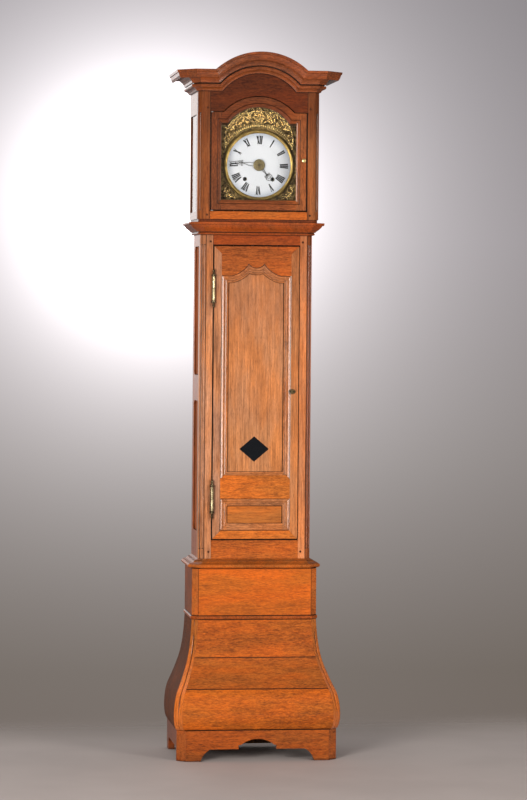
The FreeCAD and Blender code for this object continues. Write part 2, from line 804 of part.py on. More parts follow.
def scallop_outline(bottom):
    """The outer outline of the upper panel's moulding, its top edge scalloped."""
    side = door_high - scallop_side_drop
    return [
        (-field_half, bottom), (field_half, bottom), (field_half, side),
        (scallop_shoulder_width, side, scallop_sink_rise),
        (scallop_cusp_width, cusp_level, scallop_lobe_rise),
        (-scallop_cusp_width, cusp_level, scallop_sink_rise),
        (-scallop_shoulder_width, side), (-field_half, side)]


upper_field = scallop_outline(upper_field_low)
scallop_edge = [
    (-scallop_shoulder_width, upper_field[6][1], -scallop_sink_rise),
    (-scallop_cusp_width, cusp_level, -scallop_lobe_rise),
    (scallop_cusp_width, cusp_level, -scallop_sink_rise),
    (scallop_shoulder_width, upper_field[3][1])]
rail_half = field_half - joint_gap
mitre_reach = door_half - 2 * joint_gap
rail_front = front_plate("door_rail_front", trunk_front, panel_sink, (
    [(-rail_half, upper_field[7][1])] + scallop_edge
    + [(rail_half, upper_field[2][1]), (rail_half, mitre_high + joint_gap),
       (mitre_reach, door_high), (-mitre_reach, door_high),
       (-rail_half, mitre_high + joint_gap)]))
core_reach = core_half - joint_gap
rail_back = box("door_rail_back", (-core_reach, core_reach), (core_front, door_back),
                (panel_top + joint_gap, door_high))


def door_rail(label, face_outline, core_low, core_high):
    """A door rail: its face, and a core that runs on behind the mouldings."""
    face = front_plate(label + "_face", trunk_front, panel_sink, face_outline)
    core = box(label + "_core", (-core_reach, core_reach), (core_front, door_back),
               (core_low, core_high))
    return fuse(label, face, core)


middle_rail = door_rail(
    "door_middle_rail_piece",
    [(-rail_half, lower_field_high), (rail_half, lower_field_high),
     (rail_half, upper_field_low), (rail_half - rail_lap, upper_field_low + rail_lap),
     (rail_lap - rail_half, upper_field_low + rail_lap), (-rail_half, upper_field_low)],
    lower_field_high - panel_edge + joint_gap, upper_field_low + panel_edge - joint_gap)
bottom_rail = door_rail(
    "door_bottom_rail_piece",
    [(-mitre_reach, door_low), (mitre_reach, door_low), (rail_half, mitre_low - joint_gap),
     (rail_half, lower_field_low), (-rail_half, lower_field_low),
     (-rail_half, mitre_low - joint_gap)],
    door_low, lower_field_low + panel_edge - joint_gap)
node("door_rails", group("door_rails_group", fuse("door_top_rail", rail_front, rail_back),
                         middle_rail, bottom_rail))

# A moulding profile: share of the width inwards and share of the panel's sink

panel_moulding_shares = [
    (0.0, 1.0), (0.0, 0.10), (0.06, 0.16), (0.10, -0.12), (0.20, -0.22), (0.33, -0.10),
    (0.45, 0.22), (0.58, 0.50), (0.74, 0.62), (0.78, 0.46), (0.90, 0.44), (1.0, 0.66), (1.0, 1.0)]


def inset_wire(outline, distance, y):
    """A closed upright wire: the outline drawn in by a distance, its corners kept sharp."""
    count = len(outline)
    corners = [Vector(float(point[0]), float(point[1]), 0) for point in outline]
    curves = []
    middles = []
    for index, point in enumerate(outline):
        first = corners[index]
        last = corners[(index + 1) % count]
        if len(point) == 3:
            middle = arc_middle(first, last, point[2])
            circle = Part.Arc(first, middle, last).toShape().Curve
            circle.Radius += math.copysign(distance, float(point[2]))
            curves.append(circle)
            outward = (middle - circle.Center).normalize()
            middles.append(circle.Center + outward * circle.Radius)
        else:
            chord = last - first
            shift = Vector(-chord.y, chord.x, 0).normalize() * distance
            curves.append(Part.Line(first + shift, last + shift))
            middles.append(None)
    meetings = []
    for index, corner in enumerate(corners):
        crossings = [Vector(point.X, point.Y, 0)
                     for point in curves[index - 1].intersect(curves[index])]
        meetings.append(min(crossings, key=corner.distanceToPoint))
    edges = []
    for index, first in enumerate(meetings):
        last = meetings[(index + 1) % count]
        if middles[index]:
            edges.append(Part.Arc(first, middles[index], last).toShape())
        else:
            edges.append(Part.makeLine(first, last))
    wire = Part.Wire(edges)
    wire.rotate(Vector(0, 0, 0), TO_RIGHT, 90)
    wire.translate(Vector(0, float(y), 0))
    return wire


def ring(outline, profile):
    """A mitred ring: the profile gives the reach inwards and Y; it closes on itself."""
    rows = [(inset_wire(outline, float(reach), y), float(y)) for reach, y in profile]
    faces = []
    for (near, near_y), (far, far_y) in zip(rows, rows[1:] + rows[:1]):
        if near_y == far_y:
            faces.append(Part.makeFace([near, far], "Part::FaceMakerBullseye"))
        else:
            faces.extend(Part.makeLoft([near, far], False, True).Faces)
    shell = Part.Shell(faces)
    shell.sewShape()
    solid = Part.Solid(shell)
    if solid.Volume < 0:
        solid.reverse()
    return solid


panel_moulding = [(float(door_moulding_width) * share[0],
                   float(trunk_front) + float(panel_sink) * share[1])
                  for share in panel_moulding_shares]
lower_field = [(-field_half, lower_field_low), (field_half, lower_field_low),
               (field_half, lower_field_high), (-field_half, lower_field_high)]
lap_level = upper_field_low + joint_gap
lap_reach = field_half - rail_lap
lap_seat = front_plate(
    "rail_lap_seat", trunk_front - cutter_overrun, panel_sink + 2 * cutter_overrun,
    [(-field_half, upper_field_low - cutter_overrun),
     (field_half, upper_field_low - cutter_overrun), (field_half, lap_level),
     (lap_reach, lap_level + rail_lap), (-lap_reach, lap_level + rail_lap),
     (-field_half, lap_level)])
upper_moulding = feature("upper_moulding", ring(upper_field, panel_moulding))
node("door_mouldings", group("door_mouldings_group",
                             cut("lapped_moulding", upper_moulding, lap_seat),
                             feature("lower_moulding", ring(lower_field, panel_moulding))))

lozenge_level = door_low + lozenge_rise


def lozenge(spare):
    wide = lozenge_half_width - spare
    tall = lozenge_half_height - spare
    return [(-lozenge_shift - wide, lozenge_level), (-lozenge_shift, lozenge_level - tall),
            (wide - lozenge_shift, lozenge_level), (-lozenge_shift, lozenge_level + tall)]


panel_half = core_half - joint_gap
upper_panel = front_plate("upper_panel", core_front, panel_board, [
    (-panel_half, upper_field_low + panel_edge), (panel_half, upper_field_low + panel_edge),
    (panel_half, panel_top), (-panel_half, panel_top)], [lozenge(as_size(0))])
lower_panel = front_plate("lower_panel", core_front, panel_board, [
    (-panel_half, lower_field_low + panel_edge), (panel_half, lower_field_low + panel_edge),
    (panel_half, lower_field_high - panel_edge), (-panel_half, lower_field_high - panel_edge)])
node("door_panels", group("door_panels_group", upper_panel, lower_panel))
node("door_lozenge_glass", front_plate("lozenge_pane", core_front + lozenge_sink, lozenge_glass,
                                       lozenge(joint_gap)))

# Turned brass hinges of the trunk door: lower halves with pins, upper halves on the door

finial_shares = [(0.75, 0.0), (0.75, 0.10), (1.3, 0.16), (1.3, 0.28), (0.58, 0.34),
                 (0.46, 0.50), (0.72, 0.64), (0.64, 0.77), (0.36, 0.89), (0.22, 1.0)]
lower_halves = []
upper_halves = []
for number, level in enumerate(hinge_levels):
    tail = [(barrel_radius * wide, -hinge_half - finial_height * tall)
            for wide, tall in finial_shares]
    tip = [(barrel_radius * wide, hinge_half + finial_height * tall)
           for wide, tall in finial_shares]
    lower_halves.append(fuse("lower_half_%d" % number, turned(
        "lower_barrel_%d" % number, (hinge_x, hinge_y, level), UP,
        [(as_size(0), tail[-1][1])] + tail[::-1] + [
            (barrel_radius, -hinge_half), (barrel_radius, -hinge_split_gap),
            (hinge_pin_radius, -hinge_split_gap), (hinge_pin_radius, hinge_pin_length),
            (as_size(0), hinge_pin_length)]),
        leaf("case_leaf_%d" % number, -post_inner, -leaf_thickness, as_size(0),
             level - hinge_half, level - hinge_split_gap, as_size(0))))
    bore = hinge_pin_radius + running_gap
    bore_top = hinge_pin_length + hinge_split_gap
    door_leaf = leaf("door_leaf_%d" % number, -door_half, leaf_thickness, as_size(0),
                     level, level + hinge_half, as_size(0))
    pin_bore = rod("hinge_bore_%d" % number, (hinge_x, hinge_y, level - cutter_overrun), UP,
                   bore, bore_top + cutter_overrun)
    barrel = turned("upper_barrel_%d" % number, (hinge_x, hinge_y, level), UP,
                    [(as_size(0), as_size(0)), (barrel_radius, as_size(0)),
                     (barrel_radius, hinge_half)] + tip + [(as_size(0), tip[-1][1])])
    upper_halves.append(cut("upper_half_%d" % number,
                            fuse("upper_half_solid_%d" % number, barrel, door_leaf), pin_bore))
node("hinge_pins", group("hinge_pins_group", *lower_halves))
node("hinge_barrels", group("hinge_barrels_group", *upper_halves))

# Brass turn key of the trunk door, with its tongue standing upright when unlocked

key_front = trunk_front - key_neck_length
bow_half = key_bow_length / 2
bow_rise = key_bow_height / 2
key_bow = front_plate("key_bow", key_front - key_bow_board, key_bow_board, [
    (key_x - bow_half, key_level, -bow_rise), (key_x + bow_half, key_level, -bow_rise)],
    circles=[(key_x - bow_half / 2, key_level, bow_eye_radius),
             (key_x + bow_half / 2, key_level, bow_eye_radius)])
key_neck = rod("key_neck", (key_x, trunk_front - running_gap, key_level), TO_FRONT,
               key_neck_radius, key_neck_length)
key_shaft = rod("key_shaft", (key_x, door_back + tongue_board, key_level), TO_FRONT,
                key_shaft_radius, door_board + tongue_board + key_neck_length)
key_tongue = box("key_tongue", (key_x - tongue_width / 2, key_x + tongue_width / 2),
                 (door_back + running_gap, door_back + running_gap + tongue_board),
                 (key_level - tongue_width / 2, key_level + tongue_length))
node("door_key", fuse("door_key_piece", key_bow, key_neck, key_shaft, key_tongue))

# Hood: corner posts, rails, sides with windows

hood_stile_face = size("hood_stile_face", 27.5)
hood_post_side = size("hood_post_side", 26.0)
hood_bottom_rail_height = size("hood_bottom_rail_height", 28.6)
hood_flute_radius = size("hood_flute_radius", 4.5)
hood_flute_depth = size("hood_flute_depth", 3.8)
hood_flute_low = size("hood_flute_low", 30.0)
hood_flute_high = size("hood_flute_high", 370.0)
hood_gap = size("hood_gap", 2.6)
window_stile = size("window_stile", 20.0)
window_low = size("window_low", 26.0)
window_high = size("window_high", 366.0)
pane_board = size("pane_board", 3.0)
pane_sink = size("pane_sink", 4.0)
pane_cover = size("pane_cover", 5.0)
hood_peg_inset = size("hood_peg_inset", 10.0)
hood_peg_low = size("hood_peg_low", 15.0)
hood_peg_high = size("hood_peg_high", 387.0)
door_shoulder_rise = size("door_shoulder_rise", 340.0)
door_arch_half = size("door_arch_half", 124.0)
door_arch_rise = size("door_arch_rise", 56.0)
hood_foot_inset = size("hood_foot_inset", 4.0)

hood_half = hood_width / 2
hood_post_inner = hood_half - hood_cant - hood_stile_face
hood_post_y = hood_front + hood_cant + hood_post_side
hood_core_half = hood_half - hood_board
hood_door_low = level_hood + hood_bottom_rail_height + hood_gap
hood_door_half = hood_post_inner - hood_gap
shoulder_level = hood_door_low + door_shoulder_rise

hood_post = plate("hood_post", "XY", level_hood, hood_height - joint_gap, [
    (-hood_half, hood_front + hood_cant), (hood_cant - hood_half, hood_front),
    (-hood_post_inner, hood_front), (-hood_post_inner, hood_front + front_board),
    (-hood_core_half, hood_front + front_board), (-hood_core_half, hood_post_y),
    (-hood_half, hood_post_y)])
hood_flute = flute("hood_flute", hood_half, hood_cant, hood_front, as_size(0),
                   level_hood + hood_flute_low, level_hood + hood_flute_high,
                   hood_flute_radius, hood_flute_depth)
hood_peg_x = hood_post_inner + hood_peg_inset
hood_peg_levels = [level_hood + hood_peg_low, level_hood + hood_peg_high]
hood_bores = [peg_hole("hood_peg_hole_%d" % number, -hood_peg_x, hood_front, level)
              for number, level in enumerate(hood_peg_levels)]
node("hood_posts", pair("hood_posts_pair",
                        cut("hood_post_left", hood_post, hood_flute, *hood_bores)))

arch_outer_half = door_arch_half + hood_gap
arch_outer_level = shoulder_level + hood_gap


def arch_radius(half, rise):
    return (half * half + rise * rise) / (2 * rise)


def arch_half_at(radius, centre, level):
    """Half the width of an arc at a level, from its radius and centre."""
    return math.sqrt(float(radius) ** 2 - float(level - centre) ** 2)


crest_half = size("crest_half", 160.0)
rail_cover = size("rail_cover", 2.0)
rail_side = hood_post_inner - joint_gap
rail_top = level_cornice - rail_cover
hood_top_rail = front_plate("hood_top_rail_board", hood_front, front_board, [
    (-rail_side, arch_outer_level),
    (-arch_outer_half, arch_outer_level, door_arch_rise),
    (arch_outer_half, arch_outer_level),
    (rail_side, arch_outer_level), (rail_side, rail_top),
    (crest_half - rail_cover, rail_top, rail_cover - crest_rise),
    (rail_cover - crest_half, rail_top), (-rail_side, rail_top)])

hinge_pin_inset = size("hinge_pin_inset", 4.5)
hood_pin_radius = size("hood_pin_radius", 2.2)
hood_pin_reach = size("hood_pin_reach", 12.0)
washer_radius = size("washer_radius", 4.4)
washer_gap = size("washer_gap", 0.2)
pin_x = hinge_pin_inset - hood_door_half
pin_y = hood_front + hinge_pin_inset
rail_pin_hole = rod("rail_pin_hole", (pin_x, pin_y, arch_outer_level), UP,
                    hood_pin_radius, hood_pin_reach)
node("hood_top_rail", cut("hood_top_rail_piece", hood_top_rail, rail_pin_hole))
sill_top = hood_door_low - hood_gap
sill = box("hood_sill", (-rail_side, rail_side), (hood_front, hood_front + front_board),
           (level_hood, sill_top))
sill_pin_hole = rod("sill_pin_hole", (pin_x, pin_y, sill_top - hood_pin_reach), UP,
                    hood_pin_radius, hood_pin_reach + cutter_overrun)
node("hood_bottom_rail", cut("hood_bottom_rail_piece", sill, sill_pin_hole))

window_y = [hood_post_y + joint_gap, wall_y]
window_edges = [window_y[0] + window_stile, window_y[1] - window_stile]
window_levels = [level_hood + window_low, level_hood + window_high]
hood_side = plate("hood_side", "YZ", -hood_half, hood_board, [
    (window_y[0], level_hood), (window_y[1], level_hood), (window_y[1], rail_top),
    (window_y[0], rail_top)], [[
        (window_edges[0], window_levels[0]), (window_edges[1], window_levels[0]),
        (window_edges[1], window_levels[1]), (window_edges[0], window_levels[1])]])
pane_x = pane_sink - hood_half
rebate = box("window_rebate", (pane_x - joint_gap, cutter_overrun - hood_core_half),
             (window_edges[0] - pane_cover, window_edges[1] + pane_cover),
             (window_levels[0] - pane_cover, window_levels[1] + pane_cover))
node("hood_sides", pair("hood_sides_pair", cut("hood_side_left", hood_side, rebate)))
pane_edge = pane_cover - joint_gap
side_pane = box("side_pane", (pane_x, pane_x + pane_board),
                (window_edges[0] - pane_edge, window_edges[1] + pane_edge),
                (window_levels[0] - pane_edge, window_levels[1] + pane_edge))
node("hood_side_glasses", pair("side_panes", side_pane))

# Low foot strips that carry the hood on the waist moulding, and its top board

top_board_drop = size("top_board_drop", 37.0)
top_board = box("hood_lid", (joint_gap - hood_core_half, hood_core_half - joint_gap),
                (hood_front + front_board + joint_gap, back_y - joint_gap),
                (level_cornice - top_board_drop, level_cornice - top_board_drop + back_board))
node("hood_top_board", top_board)
foot_ring = plate("hood_foot_ring", "XY", level_foot, hood_foot_height, [
    (-hood_half + hood_foot_inset, wall_y), (-hood_half + hood_foot_inset, hood_front + hood_cant),
    (hood_cant + hood_foot_inset - hood_half, hood_front + hood_foot_inset),
    (hood_half - hood_cant - hood_foot_inset, hood_front + hood_foot_inset),
    (hood_half - hood_foot_inset, hood_front + hood_cant), (hood_half - hood_foot_inset, wall_y),
    (hood_core_half, wall_y), (hood_core_half, hood_front + front_board),
    (-hood_core_half, hood_front + front_board), (-hood_core_half, wall_y)])
node("hood_foot_strip", foot_ring)

# Cornice: straight runs and an arch over the front, mitred to returns on the cants and sides

cornice_projection = size("cornice_projection", 77.0)
cornice_drop = size("cornice_drop", 70.0)
cornice_shares = [
    (0, 0), (1, 0), (0.974, 0.114), (0.935, 0.143), (0.896, 0.286), (0.831, 0.4), (0.753, 0.3),
    (0.519, 0.293), (0.468, 0.343), (0.377, 0.421), (0.318, 0.514), (0.292, 0.614), (0.221, 0.621),
    (0.208, 0.671), (0.299, 0.693), (0.305, 0.771), (0.273, 0.829), (0.169, 0.864), (0.104, 0.929),
    (0.071, 1), (0, 1)]
HALF_CANT = math.tan(math.radians(45.0 / 2))
ARCH_SWEEP = 60.0


def cornice_face(top_level):
    """The cornice section in the YZ plane, its top at a level."""
    points = [Vector(0, float(hood_front) - float(cornice_projection) * share[0],
                     float(top_level) - float(cornice_drop) * share[1])
              for share in cornice_shares]
    return Part.Face(Part.makePolygon(points + [points[0]]))


def mitre_wedge(corner, reach):
    """The part of the plan in front of the hood between the two front mitres."""
    spread = reach * HALF_CANT
    front = float(hood_front)
    points = [Vector(-corner, front, 0), Vector(-corner - spread, front - reach, 0),
              Vector(corner + spread, front - reach, 0), Vector(corner, front, 0)]
    low = float(level_cornice - cornice_drop - cutter_overrun)
    high = float(level_crest + cutter_overrun)
    wedge = Part.Face(Part.makePolygon(points + [points[0]]))
    wedge.translate(Vector(0, 0, low))
    return wedge.extrude(Vector(0, 0, high - low))


crest_radius = arch_radius(crest_half, crest_rise)
crest_centre = level_crest - crest_radius
reach = float(cornice_projection + cutter_overrun)
cornice_corner = float(hood_half - hood_cant)
wedge = mitre_wedge(cornice_corner, reach)
run_half = float(hood_half + cornice_projection)
runs = cornice_face(level_cornice)
runs.translate(Vector(-run_half, 0, 0))
runs = runs.extrude(Vector(2 * run_half, 0, 0))
arch_face = cornice_face(level_crest)
pivot = Vector(0, 0, float(crest_centre))
arch_face.rotate(pivot, Vector(0, 1, 0), -ARCH_SWEEP)
arch = arch_face.revolve(pivot, Vector(0, 1, 0), 2 * ARCH_SWEEP)
low_radius = float(crest_radius - cornice_drop)
low_half = arch_half_at(low_radius, crest_centre, level_cornice - cornice_drop)
high_half = float(crest_half)
slope = (high_half - low_half) / float(cornice_drop)
above = float(crest_rise + cutter_overrun)
below = float(cutter_overrun)
arch_low = float(level_cornice - cornice_drop) - below
arch_high = float(level_cornice) + above
mitre_points = [Vector(-low_half + slope * below, 0, arch_low),
                Vector(low_half - slope * below, 0, arch_low),
                Vector(high_half + slope * above, 0, arch_high),
                Vector(-high_half - slope * above, 0, arch_high)]
arch_wedge = Part.Face(Part.makePolygon(mitre_points + [mitre_points[0]]))
arch_wedge.translate(Vector(0, float(hood_front) + below, 0))
arch_wedge = arch_wedge.extrude(Vector(0, -reach - 2 * below, 0))
cornice_front = arch.common(arch_wedge).fuse(runs.cut(arch_wedge)).common(wedge)
node("cornice_front", feature("cornice_front_piece", cornice_front.removeSplitter()))

return_profile = [(cornice_projection * share[0], cornice_drop * (1 - share[1]))
                  for share in cornice_shares]
cornice_all = moulding("cornice_all", hood_width, hood_depth, hood_cant,
                       level_cornice - cornice_drop, return_profile)
node("cornice_returns", cut("cornice_returns_pair", cornice_all,
                            feature("cornice_wedge", wedge)))

# Hood door: arched mitred frame, glass, pins and knob

hood_door_board = size("hood_door_board", 22.0)
hood_frame_width = size("hood_frame_width", 36.0)
hood_moulding_width = size("hood_moulding_width", 14.0)
glass_rebate = size("glass_rebate", 7.0)
glass_sink = size("glass_sink", 13.0)
hood_moulding_sink = size("hood_moulding_sink", 6.0)
hood_moulding_shares = [(0.0, 0.0), (0.08, 0.22), (0.18, -0.10), (0.36, -0.14), (0.55, 0.15),
                        (0.75, 0.60), (0.88, 0.72), (1.0, 1.0)]

hood_door_outline = [
    (-hood_door_half, hood_door_low), (hood_door_half, hood_door_low),
    (hood_door_half, shoulder_level), (door_arch_half, shoulder_level, -door_arch_rise),
    (-door_arch_half, shoulder_level), (-hood_door_half, shoulder_level)]
flat_width = float(hood_frame_width - hood_moulding_width)
frame_profile = [(0.0, float(hood_front + hood_door_board)), (0.0, float(hood_front))]
frame_profile += [(flat_width + float(hood_moulding_width) * share[0],
                   float(hood_front) + float(hood_moulding_sink) * share[1])
                  for share in hood_moulding_shares]
frame_profile += [(float(hood_frame_width), float(hood_front + glass_sink)),
                  (float(hood_frame_width - glass_rebate), float(hood_front + glass_sink)),
                  (float(hood_frame_width - glass_rebate), float(hood_front + hood_door_board))]
hood_frame = feature("hood_frame_ring", ring(hood_door_outline, frame_profile))
door_pin_holes = [
    rod("door_pin_hole_low", (pin_x, pin_y, hood_door_low - cutter_overrun), UP,
        hood_pin_radius + running_gap, hood_pin_reach + cutter_overrun),
    rod("door_pin_hole_high", (pin_x, pin_y, shoulder_level - hood_pin_reach), UP,
        hood_pin_radius + running_gap, hood_pin_reach + cutter_overrun)]
knob_inset = size("knob_inset", 10.5)
knob_rise = size("knob_rise", 175.0)
knob_radius = size("knob_radius", 7.5)
knob_length = size("knob_length", 13.0)
knob_shaft_radius = size("knob_shaft_radius", 2.0)
latch_length = size("latch_length", 24.0)
latch_width = size("latch_width", 8.0)
latch_board = size("latch_board", 2.0)
knob_x = hood_door_half - knob_inset
knob_level = hood_door_low + knob_rise
hood_door_back = hood_front + hood_door_board
knob_bore = rod("knob_bore", (knob_x, hood_door_back + cutter_overrun, knob_level), TO_FRONT,
                knob_shaft_radius + running_gap, hood_door_board + 2 * cutter_overrun)
node("hood_door_frame", cut("hood_door_frame_piece", hood_frame, knob_bore, *door_pin_holes))

glass_wire = inset_wire(hood_door_outline, float(hood_frame_width - glass_rebate + joint_gap),
                        hood_front + glass_sink + joint_gap)
glass_shape = Part.Face(glass_wire).extrude(Vector(0, float(pane_board), 0))
node("hood_door_glass", feature("hood_door_pane", glass_shape))

knob_shares = [(0.45, 0.0), (0.40, 0.35), (0.75, 0.48), (1.0, 0.66), (0.92, 0.86), (0.5, 0.97)]
knob_profile = [(knob_radius * wide, knob_length * tall) for wide, tall in knob_shares]
knob_start = hood_door_board + latch_board
knob = turned("knob_turning", (knob_x, hood_front - running_gap, knob_level), TO_FRONT,
              [(as_size(0), as_size(0))] + knob_profile + [(as_size(0), knob_length)])
knob_shaft = rod("knob_shaft", (knob_x, hood_door_back + latch_board, knob_level), TO_FRONT,
                 knob_shaft_radius, knob_start + knob_length / 2)
latch = box("latch_tongue", (knob_x - latch_width / 2, knob_x + latch_width / 2),
            (hood_door_back + running_gap, hood_door_back + running_gap + latch_board),
            (knob_level - latch_width / 2, knob_level + latch_length))
node("hood_door_knob", fuse("hood_door_knob_piece", knob, knob_shaft, latch))


def hood_pin(label, rail_level, low, washer_low):
    """A steel pin in a rail with a washer that keeps the door off the rail."""
    pin = rod(label + "_rod", (pin_x, pin_y, low), UP, hood_pin_radius,
              2 * hood_pin_reach + hood_gap - 2 * washer_gap)
    washer = rod(label + "_washer", (pin_x, pin_y, washer_low), UP, washer_radius,
                 hood_gap - washer_gap)
    return fuse(label, pin, washer)


pins_low = hood_pin("hood_pin_low", sill_top, sill_top - hood_pin_reach, sill_top)
pins_high = hood_pin("hood_pin_high", arch_outer_level,
                     shoulder_level - hood_pin_reach + 2 * washer_gap, shoulder_level + washer_gap)
node("hood_hinge_pins", group("hood_pins", pins_low, pins_high))

# Back boards: shaped one in the base, plain ones in trunk and hood

back_low = float(back_foot_gap)
plinth_inside = float(plinth_half - plinth_board - joint_gap)
box_inside = float(box_half - case_board - joint_gap)
back_right = [Vector(plinth_inside, 0, back_low), Vector(plinth_inside, 0, float(level_bulge))]
for step in range(bulge_steps, -1, -1):
    half, front, cant, level = bulge_section(step / bulge_steps)
    back_right.append(Vector(half - float(bulge_board + joint_gap), 0, level))
back_right.append(Vector(box_inside, 0, float(trunk_foot)))
back_left = [Vector(-point.x, 0, point.z) for point in reversed(back_right)]
side_curve = Part.BSplineCurve()
side_curve.interpolate(back_right[2:-1])
other_curve = Part.BSplineCurve()
other_curve.interpolate(back_left[1:-2])
back_edges = [
    Part.makeLine(back_right[0], back_right[1]), Part.makeLine(back_right[1], back_right[2]),
    side_curve.toShape(), Part.makeLine(back_right[-2], back_right[-1]),
    Part.makeLine(back_right[-1], back_left[0]), Part.makeLine(back_left[0], back_left[1]),
    other_curve.toShape(), Part.makeLine(back_left[-3], back_left[-2]),
    Part.makeLine(back_left[-2], back_left[-1]), Part.makeLine(back_left[-1], back_right[0])]
base_back = Part.Face(Part.Wire(back_edges))
base_back.translate(Vector(0, float(wall_y), 0))
base_back = feature("base_back", base_back.extrude(Vector(0, -float(back_board), 0)))
trunk_core = trunk_half - side_board - joint_gap
trunk_back = box("trunk_back", (-trunk_core, trunk_core), (back_y, wall_y),
                 (trunk_foot, level_foot))
hood_back = box("hood_back", (joint_gap - hood_core_half, hood_core_half - joint_gap),
                (back_y, wall_y), (level_foot + joint_gap, rail_top))
node("back_boards", group("back_boards_group", base_back, trunk_back, hood_back))

# Seat board of the movement on two cheeks inside the trunk

seat_board_thickness = size("seat_board_thickness", 16.0)
cheek_board = size("cheek_board", 16.0)
cheek_low = size("cheek_low", 160.0)
seat_level = size("seat_level", 57.0)
seat_depth = size("seat_depth", 126.0)
cheek_inset = size("cheek_inset", 12.0)

seat_top = level_hood + seat_level
seat_front = trunk_front + trunk_front_board + joint_gap
cheek_x = [trunk_core - cheek_board, trunk_core]

# Movement: dial centre, cage and the places of its arbors

dial_shift = size("dial_shift", 9.0)
dial_rise = size("dial_rise", 135.0)
dial_front_gap = size("dial_front_gap", 68.0)
enamel_radius = size("enamel_radius", 113.5)
enamel_board = size("enamel_board", 4.5)
plate_board = size("plate_board", 2.0)
cage_gap = size("cage_gap", 15.5)
cage_width = size("cage_width", 236.0)
cage_depth = size("cage_depth", 105.0)
cage_height = size("cage_height", 252.0)
cage_plate = size("cage_plate", 4.0)
pillar_side = size("pillar_side", 8.0)
bar_board = size("bar_board", 5.0)
bar_width = size("bar_width", 14.0)
bar_recess = size("bar_recess", 1.0)
centre_bar_width = size("centre_bar_width", 48.0)
arbor_radius = size("arbor_radius", 3.0)
barrel_offset = size("barrel_offset", 49.0)
drum_radius = size("drum_radius", 28.0)
line_radius = size("line_radius", 1.0)
line_clearance = size("line_clearance", 7.0)

dial_x = dial_shift
dial_z = seat_top + dial_rise
dial_y = hood_front + dial_front_gap
plate_y = dial_y + enamel_board
cage_y = plate_y + plate_board + cage_gap
cage_back = cage_y + cage_depth
cage_low = seat_top
cage_top = cage_low + cage_height + 2 * cage_plate
going_x = dial_x + barrel_offset
striking_x = dial_x - barrel_offset
drum_z = dial_z - barrel_offset
line_x = [striking_x - drum_radius - line_radius, going_x + drum_radius + line_radius]
drum_y = cage_y + cage_depth / 2

seat = box("seat", (-trunk_core, trunk_core), (seat_front, seat_front + seat_depth),
           (seat_top - seat_board_thickness, seat_top))
seat_holes = [rod("seat_hole_%d" % number, (x, drum_y, seat_top - seat_board_thickness
                                            - cutter_overrun), UP,
                  line_clearance, seat_board_thickness + 2 * cutter_overrun)
              for number, x in enumerate(line_x)]
cheek = box("cheek", (-cheek_x[1], -cheek_x[0]),
            (seat_front + cheek_inset, seat_front + seat_depth - cheek_inset),
            (level_foot - cheek_low, seat_top - seat_board_thickness))
node("seat_board", group("seat_group", cut("seat_piece", seat, *seat_holes), cheek,
                         mirrored("cheek_right", cheek)))

# Going train: tooth counts, and arbors set out from the pitch radii

great_teeth = 96
centre_pinion_teeth = 8
centre_teeth = 64
third_pinion_teeth = 8
third_teeth = 57
escape_pinion_teeth = 8
escape_teeth = 30
third_module = size("third_module", 1.2)
escape_module = size("escape_module", 1.0)
escape_rise = size("escape_rise", 70.0)
escape_radius = size("escape_radius", 22.0)
anchor_rise = size("anchor_rise", 31.0)
wheel_board = size("wheel_board", 2.5)
pinion_length = size("pinion_length", 8.0)
strike_wheel_radius = size("strike_wheel_radius", 60.0)
strike_teeth = 78

great_distance = math.hypot(float(barrel_offset), float(barrel_offset))
great_module = 2 * great_distance / (great_teeth + centre_pinion_teeth)
third_distance = float(third_module) * (centre_teeth + third_pinion_teeth) / 2
escape_distance = float(escape_module) * (third_teeth + escape_pinion_teeth) / 2
rise = float(escape_rise)
third_up = (third_distance ** 2 - escape_distance ** 2 + rise ** 2) / (2 * rise)
third_side = math.sqrt(third_distance ** 2 - third_up ** 2)
centre_spot = (float(dial_x), float(dial_z))
great_spot = (float(going_x), float(drum_z))
third_spot = (centre_spot[0] + third_side, centre_spot[1] + third_up)
escape_spot = (centre_spot[0], centre_spot[1] + rise)
anchor_spot = (escape_spot[0], escape_spot[1] + float(anchor_rise))


def bearing(first, second):
    """The direction from one arbor to another, in radians."""
    return math.atan2(second[1] - first[1], second[0] - first[0])


addendum_share = 0.75
dedendum_share = 1.15
tooth_shares = ((-0.27, -dedendum_share), (-0.11, addendum_share), (0.11, addendum_share),
                (0.27, -dedendum_share))
window_radius_share = 0.2
window_spot_share = 0.58


def gear(spot, y, teeth, module, facing, board, gap_first=False, windows=0):
    """A toothed wheel seen from the front; a tooth, or a gap, faces the given direction."""
    pitch = module * teeth / 2
    step = 2 * math.pi / teeth
    start = facing + (step / 2 if gap_first else 0)
    points = []
    for tooth in range(teeth):
        middle = start + tooth * step
        for turn, height in tooth_shares:
            angle = middle + turn * step
            radius = pitch + height * module
            points.append(Vector(spot[0] + radius * math.cos(angle), y,
                                 spot[1] + radius * math.sin(angle)))
    face = Part.Face(Part.makePolygon(points + [points[0]]))
    wheel = face.extrude(Vector(0, board, 0))
    for window in range(windows):
        angle = 2 * math.pi * window / windows
        reach = window_spot_share * pitch
        hole = Part.makeCylinder(window_radius_share * pitch, board, Vector(
            spot[0] + reach * math.cos(angle), y, spot[1] + reach * math.sin(angle)),
            Vector(0, 1, 0))
        wheel = wheel.cut(hole)
    return wheel


def shaft(spot, first_y, last_y, radius):
    return Part.makeCylinder(radius, last_y - first_y, Vector(spot[0], first_y, spot[1]),
                             Vector(0, 1, 0))


def fused(shapes):
    whole = shapes[0].multiFuse(shapes[1:])
    return whole.removeSplitter()


